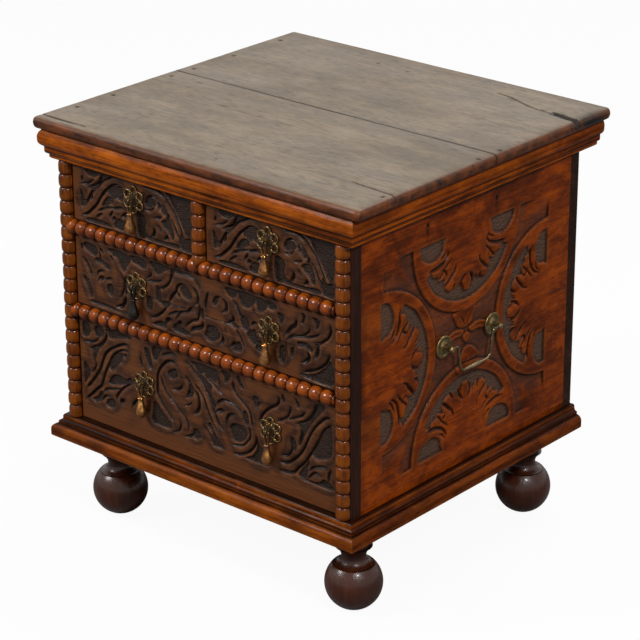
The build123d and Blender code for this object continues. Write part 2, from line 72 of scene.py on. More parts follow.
stile_low, stile_high = node_box("front_stiles")
rails_low, rails_high = node_box("drawer_rails")
cornice_low, cornice_high = node_box("right_cornice")
base_high = node_box("right_base_moulding")[1]

half_body = stile_high[0]
inner_x = node_box("right_side_board")[0][0]
front_y = stile_low[1]
base_top = base_high[2]
cornice_z = cornice_low[2]


# ---------------------------------------------------------------- curves and fields


def curve_through(points, spacing=0.8, closed=False):
    """A Catmull-Rom curve: each span blends its four nearest points by cubic weights, and the whole is
    then walked at an even spacing."""
    points = np.array(points, dtype=float)
    if closed:
        points = np.vstack([points[-1], points, points[:2]])
    else:
        points = np.vstack([2 * points[0] - points[1], points, 2 * points[-1] - points[-2]])
    before, start, end, after = points[:-3], points[1:-2], points[2:-1], points[3:]
    steps_per_span = 14
    t = np.linspace(0, 1, steps_per_span, endpoint=False)[:, None, None]
    spans = 0.5 * (
        2 * start
        + (end - before) * t
        + (2 * before - 5 * start + 4 * end - after) * t**2
        + (3 * start - before - 3 * end + after) * t**3
    )
    curve = np.vstack([spans.transpose(1, 0, 2).reshape(-1, points.shape[1]), points[-2]])
    walked = np.concatenate([[0], np.cumsum(np.linalg.norm(np.diff(curve, axis=0), axis=1))])
    steps = np.linspace(0, walked[-1], max(3, round(walked[-1] / spacing) + 1))
    return np.column_stack([np.interp(steps, walked, values) for values in curve.T])


def arc(start, end, bulge):
    """Nine points of a circular arc from start to end that stands bulge proud of its chord, to the left."""
    start, end = np.array(start, float), np.array(end, float)
    chord = end - start
    half = np.linalg.norm(chord) / 2
    radius = (half**2 + bulge**2) / (2 * bulge)
    sweep = 2 * math.asin(max(-1.0, min(1.0, half / radius)))
    left = np.array([-chord[1], chord[0]]) / (2 * half)
    centre = (start + end) / 2 + left * (bulge - radius)
    angles = np.linspace(sweep / 2, -sweep / 2, 9)[:, None]
    return centre + radius * (np.cos(angles) * left - np.sin(angles) * chord / (2 * half))


def full_turn(count):
    """The angles of a full turn, evenly spaced."""
    return np.linspace(0, 2 * np.pi, count, endpoint=False)


def soft_noise(u, v, cell, seed):
    """Random values on a square lattice, blended between its corners by smooth cubic weights, -1 to 1."""
    lattice = np.random.default_rng(seed).uniform(-1, 1, (LATTICE, LATTICE))
    column, row = np.asarray(u) / cell, np.asarray(v) / cell
    i, j = np.floor(column).astype(int), np.floor(row).astype(int)
    s, t = column - i, row - j
    s, t = s * s * (3 - 2 * s), t * t * (3 - 2 * t)
    i, j, next_i, next_j = (index % LATTICE for index in (i, j, i + 1, j + 1))
    lower = lattice[j, i] * (1 - s) + lattice[j, next_i] * s
    upper = lattice[next_j, i] * (1 - s) + lattice[next_j, next_i] * s
    return lower * (1 - t) + upper * t


def smooth_step(value):
    """0 below 0, 1 above 1, and three squares less two cubes between."""
    value = np.clip(value, 0, 1)
    return value * value * (3 - 2 * value)


def blurred(field, radius):
    """The mean over a square of the given radius in grid steps, taken twice, so it falls off softly."""
    for axis in (0, 1, 0, 1):
        margin = [(0, 0), (0, 0)]
        margin[axis] = (radius + 1, radius)
        total = np.cumsum(np.pad(field, margin, mode="edge"), axis=axis)
        count = field.shape[axis]
        high = np.take(total, np.arange(2 * radius + 1, 2 * radius + 1 + count), axis=axis)
        low = np.take(total, np.arange(count), axis=axis)
        field = (high - low) / (2 * radius + 1)
    return field


class Carving:
    """A depth map below a board's face, in millimetres, on an even grid: u runs along, v runs up."""

    def __init__(self, u_range, v_range, step, seed):
        self.u = np.linspace(*u_range, round((u_range[1] - u_range[0]) / step) + 1)
        self.v = np.linspace(*v_range, round((v_range[1] - v_range[0]) / step) + 1)
        self.step = self.u[1] - self.u[0]
        self.seed = seed
        self.uu, self.vv = np.meshgrid(self.u, self.v)
        self.depth = np.zeros_like(self.uu)
        self.sunk = np.zeros_like(self.uu)

    def window(self, path, reach):
        """Row and column slices of the grid within reach of a path."""
        low, high = path.min(axis=0) - reach, path.max(axis=0) + reach
        columns = slice(*np.searchsorted(self.u, (low[0], high[0])))
        rows = slice(*np.searchsorted(self.v, (low[1], high[1])))
        return rows, columns

    def from_path(self, path, place):
        """For each grid point in a window: its distance to the path, the nearest step, and its side."""
        across = self.uu[place][..., None] - path[:, 0]
        up = self.vv[place][..., None] - path[:, 1]
        squared = across**2 + up**2
        nearest = squared.argmin(axis=-1)
        pick = nearest[..., None]
        distance = np.sqrt(np.take_along_axis(squared, pick, -1)[..., 0])
        heading = np.gradient(path, axis=0)
        side = heading[nearest, 0] * np.take_along_axis(up, pick, -1)[..., 0]
        side -= heading[nearest, 1] * np.take_along_axis(across, pick, -1)[..., 0]
        return distance, nearest, side

    def stroke(self, points, half_width, depth, lean):
        """A gouge cut: a V along a curve, narrowing to a third at its two ends. With a lean, the wood on
        the inner side of the bend slopes down to the cut, as where one leaf lies under another."""
        path = curve_through(points)
        place = self.window(path, max(half_width, LEAN_REACH if lean else 0) + 1)
        if self.uu[place].size == 0:
            return
        distance, nearest, side = self.from_path(path, place)
        ends = np.minimum(nearest, len(path) - 1 - nearest) / max(1, min(9, len(path) / 3))
        taper = np.sqrt(np.clip(0.12 + ends, 0, 1))
        cut = depth * taper * (1 - smooth_step(distance / (half_width * taper)))
        if lean:
            heading = np.diff(path, axis=0)
            turning = np.sum(heading[:-1, 0] * heading[1:, 1] - heading[:-1, 1] * heading[1:, 0])
            slope = np.clip(1 - distance / LEAN_REACH, 0, 1) ** 2 * lean * taper
            cut = np.maximum(cut, np.where(side * turning > 0, slope, 0))
        self.depth[place] = np.maximum(self.depth[place], cut)

    def inside(self, outline, place):
        """Whether each grid point of a window lies inside a closed outline, by counting crossings."""
        u, v = self.uu[place][..., None], self.vv[place][..., None]
        start, end = outline[:-1], outline[1:]
        spans = (start[:, 1] > v) != (end[:, 1] > v)
        rise = np.where(end[:, 1] == start[:, 1], 1e-9, end[:, 1] - start[:, 1])
        crossing = start[:, 0] + (v - start[:, 1]) * (end[:, 0] - start[:, 0]) / rise
        return np.sum(spans & (u < crossing), axis=-1) % 2 == 1

    def wall_of(self, points, width):
        """Where a smooth closed outline lies, and how far along its wall each grid point there is: 0 on
        and outside the outline, 1 from the wall's width inwards."""
        outline = curve_through(points, 1.0, closed=True)
        place = self.window(outline, 1)
        distance = self.from_path(outline, place)[0]
        return place, smooth_step(np.where(self.inside(outline, place), distance, 0) / width)

    def ground(self, points, wall=1.2, within=None):
        """Sunk ground: inside an outline the board drops to the ground's depth over a steep wall."""
        place, fall = self.wall_of(points, wall)
        if within is not None:
            fall = fall * within[place]
        self.lower(GROUND_DEPTH * fall, fall, place)

    def leaf(self, points, height, wall=1.4):
        """Leaves a leaf standing in the sunk ground: inside its outline the map rises again."""
        place, rise = self.wall_of(points, wall)
        self.depth[place] -= rise * np.minimum(self.depth[place], height)
        self.sunk[place] *= 1 - rise

    def lower(self, depth, fall, place=(slice(None), slice(None))):
        """Lowers the map to at least depth, and marks how far it counts as sunk ground."""
        self.depth[place] = np.maximum(self.depth[place], depth)
        self.sunk[place] = np.maximum(self.sunk[place], fall)

    def dressed(self, waviness, roundness, dirt_and_shade):
        """Softens arrises as years of waxing do, rounds the leaves down towards their cuts and adds the
        unevenness of hand work. Returns the depth and the values that the finishes read: sunk, grime with
        painted shade in the cuts and hollows, less of it on sunk ground, and rubbed on the edges."""
        # 0.8 and 2.4 mm in grid steps, and how much carving there is about each point
        near = max(1, round(0.8 / self.step))
        wide = max(2, round(2.4 / self.step))
        busy = smooth_step(blurred(self.depth, 3 * wide) / 0.35)
        depth = 0.78 * self.depth + 0.22 * blurred(self.depth, near)
        depth = depth + roundness * blurred(self.depth, wide) * (1 - self.sunk)
        waves = soft_noise(self.uu, self.vv, 13, self.seed)
        waves = waves + 0.6 * soft_noise(self.uu, self.vv, 5, self.seed + 1)
        depth = np.maximum(depth + waviness * busy * (1 + waves), 0)
        around = blurred(depth, wide)
        sunk = blurred(self.sunk, 1)
        # Grime and painted shade: darker where the map lies below its surroundings, as in narrow cuts, and a
        # little darker the deeper it lies
        grime = dirt_and_shade * np.clip(depth - around, 0, 1) + 0.2 * np.clip(depth / 2.6, 0, 1)
        grime = np.clip(grime, 0, 1) * (1 - 0.45 * sunk)
        return depth, {"sunk": sunk, "grime": grime, "rubbed": np.clip(around - depth, 0, 1)}


# ---------------------------------------------------------------- meshes

POINT_VALUES = ("sunk", "grime", "rubbed", "tint")


class Shell:
    """Grids, rings and triangles gathered into one mesh, with named values at its points."""

    def __init__(self):
        self.points = []
        self.faces = []
        self.values = []
        self.count = 0

    def grid(self, points, wrap=False, **values):
        """A grid of (rows, columns, 3) points and the quads between them; wrap closes each row. A value is
        one number, a row or column of them, or one at each point."""
        shape = points.shape[:2]
        index = self.count + np.arange(shape[0] * shape[1]).reshape(shape)
        values = {name: np.broadcast_to(value, shape) for name, value in values.items()}
        self.add(points.reshape(-1, 3), **values)
        self.join(index, wrap)
        return index

    def add(self, points, **values):
        """Points with their values; a value that isn't given is 0."""
        self.points.append(points)
        table = [np.broadcast_to(np.ravel(values.get(name, 0.0)), len(points)) for name in POINT_VALUES]
        self.values.append(np.stack(table))
        self.count += len(points)

    def join(self, index, wrap=False):
        """One quad between each four neighbours of an index grid."""
        if wrap:
            index = np.column_stack([index, index[:, :1]])
        corners = index[:-1, :-1], index[:-1, 1:], index[1:, 1:], index[1:, :-1]
        self.faces.append(np.stack(corners, axis=-1).reshape(-1, 4))

    def cover(self, ring):
        """One face over a closed ring of points."""
        self.faces.append(np.asarray(ring)[None])

    def rod(self, rings, **values):
        """A closed bar: a run of rings, with a cover over each end."""
        index = self.grid(rings, wrap=True, **values)
        self.cover(index[0])
        self.cover(index[-1])

    def slab(self, face, axis, back, **values):
        """A board behind a face grid: the face's rim is carried along an axis to a flat back."""
        index = self.grid(face, **values)
        rim = rim_of(index)
        foot = face.reshape(-1, 3)[rim - index[0, 0]]
        foot[:, axis] = back
        foot_index = self.count + np.arange(len(rim))
        self.add(foot)
        self.join(np.stack([rim, foot_index]), wrap=True)
        self.cover(foot_index)

    def triangles(self, points, corners, **values):
        """Loose triangles given by their points and corner indices."""
        self.faces.append(corners + self.count)
        self.add(points, **values)


def rim_of(index):
    """The border of an index grid as one closed ring."""
    return np.concatenate([index[0, :-1], index[:-1, -1], index[-1, :0:-1], index[:0:-1, 0]])


def make_piece(name, shell, material, body, replaced):
    """Turns a shell into a finished piece: outward faces, smooth shading but for its sharp arrises, a
    material, the body it rides on and the CAD nodes that it stands for."""
    mesh = bpy.data.meshes.new(name)
    points = np.concatenate(shell.points) * MM
    corners = np.concatenate([faces.ravel() for faces in shell.faces])
    sizes = np.concatenate([np.full(len(faces), faces.shape[1]) for faces in shell.faces])
    starts = np.concatenate([[0], np.cumsum(sizes)[:-1]])
    mesh.vertices.add(len(points))
    mesh.vertices.foreach_set("co", points.astype(np.float32).ravel())
    mesh.loops.add(len(corners))
    mesh.loops.foreach_set("vertex_index", corners.astype(np.int32))
    mesh.polygons.add(len(sizes))
    mesh.polygons.foreach_set("loop_start", starts.astype(np.int32))
    mesh.update(calc_edges=True)
    mesh.validate()
    for value, row in zip(POINT_VALUES, np.concatenate(shell.values, axis=1)):
        field = mesh.attributes.new(value, "FLOAT", "POINT")
        field.data.foreach_set("value", row.astype(np.float32))
    turned = bmesh.new()
    turned.from_mesh(mesh)
    bmesh.ops.recalc_face_normals(turned, faces=turned.faces)
    turned.to_mesh(mesh)
    turned.free()
    mesh.polygons.foreach_set("use_smooth", np.ones(len(mesh.polygons), dtype=bool))
    mesh.set_sharp_from_angle(angle=ARRIS_ANGLE)
    mesh.materials.append(material)
    piece = bpy.data.objects.new(name, mesh)
    bpy.context.scene.collection.objects.link(piece)
    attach(piece, body)
    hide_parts(*replaced)


def cad_triangles(node):
    """A CAD node's triangles with shared points merged: points in millimetres, and corner indices."""
    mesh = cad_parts[node].data
    points = np.empty(len(mesh.vertices) * 3)
    mesh.vertices.foreach_get("co", points)
    corners = np.empty(len(mesh.loops), dtype=int)
    mesh.loops.foreach_get("vertex_index", corners)
    points, merged = np.unique(points.reshape(-1, 3).round(6), axis=0, return_inverse=True)
    return points / MM, merged.ravel()[corners].reshape(-1, 3)


# ---------------------------------------------------------------- finishes


def srgb(red, green, blue):
    """A colour written in the usual 0 to 255 scale, as the linear colour that a shader takes."""
    return (*[(value / 255) ** 2.2 for value in (red, green, blue)], 1)


black_grime = srgb(12, 7, 5)


class Finish:
    """A material whose colour, gloss and fine relief are worked out by shader nodes."""

    def __init__(self, name, coat=0.0, specular=0.5):
        self.material = bpy.data.materials.new(name)
        self.material.use_nodes = True
        self.nodes = self.material.node_tree.nodes
        self.links = self.material.node_tree.links
        self.shader = self.nodes["Principled BSDF"]
        self.shader.inputs["Coat Weight"].default_value = coat
        self.shader.inputs["Coat Roughness"].default_value = 0.08
        self.shader.inputs["Specular IOR Level"].default_value = specular
        self.coordinates = self.nodes.new("ShaderNodeTexCoord").outputs["Object"]

    def feed(self, socket, value):
        """Links a socket to a node's output, or sets it to a plain number or colour."""
        if isinstance(value, bpy.types.NodeSocket):
            self.links.new(value, socket)
        else:
            socket.default_value = value

    def place(self, stretch=(1, 1, 1), shift=(0, 0, 0)):
        """Object coordinates, scaled and shifted along the axes."""
        mapping = self.nodes.new("ShaderNodeMapping")
        mapping.inputs["Scale"].default_value = stretch
        mapping.inputs["Location"].default_value = shift
        self.links.new(self.coordinates, mapping.inputs["Vector"])
        return mapping.outputs["Vector"]

    def noise(self, vector, scale, detail=3.0, roughness=0.5, distortion=0.0):
        """Cloudy noise, about 0.3 to 0.7."""
        node = self.nodes.new("ShaderNodeTexNoise")
        self.links.new(vector, node.inputs["Vector"])
        node.inputs["Scale"].default_value = scale
        node.inputs["Detail"].default_value = detail
        node.inputs["Roughness"].default_value = roughness
        node.inputs["Distortion"].default_value = distortion
        return node.outputs["Fac"]

    def cells(self, vector, scale):
        """Distance to the nearest of scattered points."""
        node = self.nodes.new("ShaderNodeTexVoronoi")
        self.links.new(vector, node.inputs["Vector"])
        node.inputs["Scale"].default_value = scale
        return node.outputs["Distance"]

    def math(self, operation, first, second=0.0, clamp=False):
        """One sum, with its result held between 0 and 1 where clamp is set."""
        node = self.nodes.new("ShaderNodeMath")
        node.operation = operation
        node.use_clamp = clamp
        self.feed(node.inputs[0], first)
        self.feed(node.inputs[1], second)
        return node.outputs[0]

    def times(self, first, second, clamp=False):
        """The product of two values."""
        return self.math("MULTIPLY", first, second, clamp)

    def blend_of(self, *parts):
        """The sum of several values, each times its share."""
        total = 0.0
        for value, share in parts:
            total = self.math("ADD", self.times(value, share), total)
        return total

    def span(self, value, low, high, to_low=0.0, to_high=1.0):
        """Maps low..high to to_low..to_high, and holds it there outside."""
        node = self.nodes.new("ShaderNodeMapRange")
        self.feed(node.inputs["Value"], value)
        ends = {"From Min": low, "From Max": high, "To Min": to_low, "To Max": to_high}
        for socket, number in ends.items():
            node.inputs[socket].default_value = number
        return node.outputs["Result"]

    def mix(self, amount, first, second):
        """Two colours blended by an amount. The node's sockets for colours are 6 and 7, and 2 gives the
        blend."""
        node = self.nodes.new("ShaderNodeMix")
        node.data_type = "RGBA"
        self.feed(node.inputs["Factor"], amount)
        self.feed(node.inputs[6], first)
        self.feed(node.inputs[7], second)
        return node.outputs[2]

    def ramp(self, value, *stops):
        """A colour picked along a run of (place, colour) stops."""
        node = self.nodes.new("ShaderNodeValToRGB")
        self.feed(node.inputs["Fac"], value)
        elements = node.color_ramp.elements
        while len(elements) < len(stops):
            elements.new(0.5)
        for element, (place, colour) in zip(elements, stops):
            element.position = place
            element.color = colour
        return node.outputs["Color"]

    def value(self, name):
        """A named value that the piece's mesh holds at its points."""
        node = self.nodes.new("ShaderNodeAttribute")
        node.attribute_name = name
        return node.outputs["Fac"]

    def spot(self, place, stretch):
        """How close a point is to a place, 1 at it and 0 a stretch away, measured apart on each axis."""
        shift = tuple(-middle / size for middle, size in zip(place, stretch))
        node = self.nodes.new("ShaderNodeVectorMath")
        node.operation = "LENGTH"
        self.links.new(self.place(tuple(1 / size for size in stretch), shift), node.inputs[0])
        return self.span(node.outputs["Value"], 0.0, 1.0, 1.0, 0.0)

    def bump(self, height, distance, normal=None):
        """Fine relief from a height; distance is its size in metres."""
        node = self.nodes.new("ShaderNodeBump")
        node.inputs["Distance"].default_value = distance
        self.links.new(height, node.inputs["Height"])
        if normal is not None:
            self.links.new(normal, node.inputs["Normal"])
        return node.outputs["Normal"]

    def done(self, colour, roughness, normal):
        """Feeds the shader and returns the material."""
        self.feed(self.shader.inputs["Base Color"], colour)
        self.feed(self.shader.inputs["Roughness"], roughness)
        self.links.new(normal, self.shader.inputs["Normal"])
        return self.material


def grain_stretch(along, squeeze):
    """Coordinate scales that draw a pattern out along the grain's axis."""
    scales = [1.0, 1.0, 1.0]
    scales[along] = squeeze
    return scales


def wood(name, along, dark, middle, light, gloss=(0.3, 0.5), coat=0.0, specular=0.08, figure_scale=24,
         pores=0.5, patches=0.35, tone_spread=0.12, mottle=0.0, relief=0.00035, grime_colour=None,
         rubbed_colour=None, sunk_colour=None, ground_marks=None, nosing_colours=None, plain_colour=None,
         stains_and_shadows=()):
    """Oiled and waxed wood. Broad figure, growth rings and fine fibres are noises drawn out along the
    grain and laid over each other; pores are short dark flecks; patches and mottle darken wide areas
    unevenly. Relief is the depth of rings and pores, in metres. Grime and painted shade darken hollows,
    rubbing lightens arrises, and sunk ground takes its own colour and tool marks. Tint shows a worn nosing
    on the top, and uncarved wood on the drawer fronts. Dark marks are stains, but for a painted shadow
    under the cornice on the side boards."""
    finish = Finish(name, coat, specular)

    def along_grain(squeeze, scale, detail, roughness, distortion=0.0):
        """Noise drawn out along the grain: the smaller the squeeze, the longer its streaks."""
        return finish.noise(finish.place(grain_stretch(along, squeeze)), scale, detail, roughness, distortion)

    figure = along_grain(0.14, figure_scale, 4, 0.55, 0.9)
    rings = along_grain(0.05, figure_scale * 7, 2, 0.5, 0.4)
    fibres = along_grain(0.035, 430, 3, 0.65)
    tone = finish.blend_of((figure, 0.36), (rings, 0.26), (fibres, 0.38))
    colour = finish.ramp(tone, (0.5 - tone_spread, dark), (0.5, middle), (0.5 + tone_spread, light))
    flecks = along_grain(0.08, 900, 1, 0.4)
    pore_colour = finish.mix(0.7, middle, black_grime)
    colour = finish.mix(finish.span(flecks, 0.56, 0.66, 0, pores), colour, pore_colour)
    cloud = along_grain(0.5, 11, 4, 0.6, 0.5)
    colour = finish.mix(finish.span(cloud, 0.46, 0.66, 0, patches), colour, dark)
    if mottle:
        blotches = along_grain(0.5, 38, 6, 0.72, 0.3)
        colour = finish.mix(finish.span(blotches, 0.5, 0.62, 0, mottle), colour, dark)
        colour = finish.mix(finish.span(blotches, 0.38, 0.48, mottle, 0), colour, light)
    roughness = finish.span(cloud, 0.35, 0.65, *gloss)
    normal = finish.bump(finish.math("ADD", rings, finish.times(flecks, 0.5)), relief)
    if nosing_colours is not None:
        streaks = along_grain(0.3, 90, 5, 0.7)
        nosing = finish.ramp(streaks, (0.34, nosing_colours[0]), (0.68, nosing_colours[1]))
        colour = finish.mix(finish.span(finish.value("tint"), 0.02, 0.3), colour, nosing)
    # Dark marks: stains, and on the side boards a painted shadow under the cornice
    for mark_place, mark_stretch, strength in stains_and_shadows:
        mark = finish.times(finish.spot(mark_place, mark_stretch), strength, clamp=True)
        colour = finish.mix(mark, colour, black_grime)
    if plain_colour is not None:
        colour = finish.mix(finish.times(finish.value("tint"), 0.55), colour, plain_colour)
    if rubbed_colour is not None:
        scuffs = finish.span(finish.noise(finish.place(), 60, 4, 0.6), 0.38, 0.62, 0.25, 1)
        rub = finish.times(finish.value("rubbed"), scuffs, clamp=True)
        colour = finish.mix(rub, colour, rubbed_colour)
    if sunk_colour is not None:
        sunk = finish.value("sunk")
        speckle = finish.span(finish.noise(finish.place(), 420, 3, 0.7), 0.35, 0.65)
        floor_colour = finish.mix(speckle, finish.mix(0.35, sunk_colour, black_grime), sunk_colour)
        colour = finish.mix(finish.times(sunk, 0.88), colour, floor_colour)
        roughness = finish.math("ADD", roughness, finish.times(sunk, 0.14))
        marks_scale, marks_stretch = ground_marks
        marks = finish.cells(finish.place(marks_stretch), marks_scale)
        normal = finish.bump(finish.times(finish.times(marks, sunk), -1.0), 0.0011, normal)
    # Grime and painted shade in the cuts, hollows, grooves and quirks
    if grime_colour is not None:
        colour = finish.mix(finish.times(finish.value("grime"), 0.92), colour, grime_colour)
    return finish.done(colour, roughness, normal)


def brass(name, bright, dull, deep, gloss=(0.22, 0.5), grain=180, pits=0.55):
    """Aged brass: bright metal with cloudy tarnish, darker where the cloud is thick, finely pitted."""
    finish = Finish(name)
    cloud = finish.noise(finish.place(), grain, 4, 0.6, 0.3)
    finish.feed(finish.shader.inputs["Metallic"], finish.span(cloud, 0.35, 0.6, 0.45, 0.9))
    fine = finish.noise(finish.place(), grain * 7, 2, 0.6)
    colour = finish.ramp(cloud, (0.3, deep), (0.55, dull), (0.72, bright))
    colour = finish.mix(finish.span(fine, 0.52, 0.7, 0, pits), colour, deep)
    colour = finish.mix(finish.times(finish.value("rubbed"), 0.5), colour, bright)
    # Darker where the mesh marks grime and painted shade: round a drop's pivot, and at the back of its pear
    colour = finish.mix(finish.times(finish.value("grime"), 0.8), colour, deep)
    smooth, rough = gloss
    roughness = finish.span(cloud, 0.35, 0.65, rough, smooth)
    return finish.done(colour, roughness, finish.bump(fine, 0.0002 * pits))


ALONG_X, ALONG_Y, ALONG_Z = 0, 1, 2

# Dark marks on the boards: where each is, how far it reaches along each axis, in metres, and how
# strong it is. The first four are two wooden pegs with the dirt below them. The fifth is a painted
# shadow under the cornice.
side_stains_and_shadow = [
    ((0.2235, -0.081, 0.455), (0.5, 0.0035, 0.0035), 2.0),
    ((0.2235, 0.0455, 0.453), (0.5, 0.0035, 0.0035), 2.0),
    ((0.2235, -0.081, 0.447), (0.5, 0.005, 0.012), 0.7),
    ((0.2235, 0.0455, 0.446), (0.5, 0.005, 0.012), 0.6),
    # A painted shadow under the cornice
    ((0.2235, -0.01, 0.468), (0.5, 0.2, 0.016), 0.5),
    ((0.2235, -0.196, 0.3), (0.5, 0.012, 0.2), 0.7),
]
top_stains = [
    ((0.252, 0.19, 0.513), (0.018, 0.036, 0.024), 1.3),
    ((0.25, 0.206, 0.508), (0.05, 0.02, 0.014), 1.0),
]

front_oak = wood(
    "carved_front_oak", ALONG_X, srgb(31, 18, 12), srgb(54, 32, 21), srgb(82, 50, 31), gloss=(0.32, 0.48),
    specular=0.16, pores=0.6, relief=0.0009, grime_colour=srgb(8, 5, 4), rubbed_colour=srgb(112, 70, 42),
    sunk_colour=srgb(46, 34, 27), ground_marks=(620, (1, 1, 1)), plain_colour=srgb(104, 60, 30),
)
side_oak = wood(
    "carved_side_oak", ALONG_Y, srgb(50, 21, 7), srgb(114, 48, 6), srgb(152, 68, 8), gloss=(0.24, 0.4),
    figure_scale=18, patches=0.4, tone_spread=0.19, mottle=0.6, relief=0.0006, grime_colour=black_grime,
    rubbed_colour=srgb(146, 74, 22), sunk_colour=srgb(92, 75, 63), ground_marks=(460, (1, 0.3, 1)),
    stains_and_shadows=side_stains_and_shadow,
)
moulding_walnut_x = wood(
    "moulding_walnut_front", ALONG_X, srgb(62, 28, 8), srgb(126, 60, 12), srgb(166, 86, 20),
    gloss=(0.24, 0.4), figure_scale=30, pores=0.4, mottle=0.5, grime_colour=black_grime,
    rubbed_colour=srgb(182, 100, 34),
)
# The side runs' finish is a little darker than the front run's: painted shade
moulding_walnut_y_shaded = wood(
    "moulding_walnut_side_painted_shade", ALONG_Y, srgb(58, 26, 6), srgb(118, 52, 8), srgb(154, 76, 14),
    gloss=(0.28, 0.44), specular=0.05, figure_scale=30, pores=0.4, mottle=0.5, grime_colour=black_grime,
    rubbed_colour=srgb(168, 88, 26),
)
# The upright beads are a little darker than the level ones: painted shade
bead_walnut_z_shaded = wood(
    "bead_walnut_upright_painted_shade", ALONG_Z, srgb(42, 19, 5), srgb(80, 37, 7), srgb(114, 56, 10),
    gloss=(0.16, 0.28), coat=0.22, figure_scale=40, pores=0.35, grime_colour=black_grime,
    rubbed_colour=srgb(142, 76, 12),
)
bead_walnut_x = wood(
    "bead_walnut_level", ALONG_X, srgb(48, 21, 5), srgb(92, 41, 7), srgb(132, 62, 9),
    gloss=(0.14, 0.24), coat=0.26, figure_scale=40, pores=0.4, grime_colour=black_grime,
    rubbed_colour=srgb(166, 80, 10),
)
foot_walnut = wood(
    "turned_foot_walnut", ALONG_Z, srgb(36, 16, 9), srgb(60, 29, 15), srgb(84, 43, 22),
    gloss=(0.26, 0.4), coat=0.12, specular=0.3, figure_scale=34, pores=0.3, tone_spread=0.24,
)
frame_oak = wood(
    "frame_oak", ALONG_X, srgb(24, 14, 10), srgb(38, 23, 16), srgb(52, 32, 22), gloss=(0.4, 0.55), pores=0.4,
)
stile_oak = wood(
    "stile_oak", ALONG_Z, srgb(28, 15, 11), srgb(44, 25, 19), srgb(56, 33, 24), gloss=(0.4, 0.55), pores=0.4,
)
back_oak = wood(
    "back_board_oak", ALONG_X, srgb(28, 17, 13), srgb(42, 27, 20), srgb(60, 39, 28), gloss=(0.5, 0.7),
    pores=0.6,
)
lining_oak = wood(
    "drawer_lining_oak", ALONG_Y, srgb(112, 80, 50), srgb(138, 102, 66), srgb(160, 122, 82),
    gloss=(0.5, 0.7),
)
# The top's grey-brown colour holds a painted sheen: part of its grey stands for the white surround mirrored
# at a low angle, over the wood's faded brown
top_oak_with_sheen = wood(
    "top_board_oak_with_painted_sheen", ALONG_X, srgb(78, 71, 62), srgb(106, 94, 79), srgb(134, 118, 96), gloss=(0.34, 0.5),
    specular=0.2, figure_scale=13, pores=0.8, patches=0.4, tone_spread=0.28, mottle=0.25,
    grime_colour=srgb(22, 13, 8), rubbed_colour=srgb(84, 56, 36),
    nosing_colours=(srgb(30, 17, 11), srgb(104, 56, 27)), stains_and_shadows=top_stains,
)
rosette_brass = brass("rosette_brass", srgb(158, 126, 78), srgb(76, 58, 34), srgb(25, 19, 12))
drop_brass = brass(
    "drop_brass", srgb(212, 156, 90), srgb(142, 94, 50), srgb(50, 31, 18), gloss=(0.14, 0.26), grain=110,
    pits=0.2,
)
dark_iron = brass("dark_drop_iron", srgb(70, 62, 52), srgb(38, 33, 28), srgb(18, 15, 13), gloss=(0.34, 0.5))
pin_brass = brass("pin_brass", srgb(168, 142, 92), srgb(112, 90, 52), srgb(50, 38, 22))
handle_brass = brass("handle_brass", srgb(176, 152, 100), srgb(112, 93, 56), srgb(52, 41, 26))
bail_brass = brass("bail_brass", srgb(174, 151, 110), srgb(106, 88, 61), srgb(48, 37, 25), gloss=(0.16, 0.34))

# ---------------------------------------------------------------- carving of the drawer fronts

# Half width and depth of each kind of gouge cut, and how much the wood leans down to it
GOUGES = {
    "vein": (1.8, 1.8, 0.0),
    "leaf": (2.4, 2.5, 1.6),
    "stem": (2.6, 2.9, 1.6),
    "broad": (4.0, 3.0, 2.0),
    "faint": (1.8, 1.2, 0.0),
    "crack": (0.9, 1.2, 0.0),
}

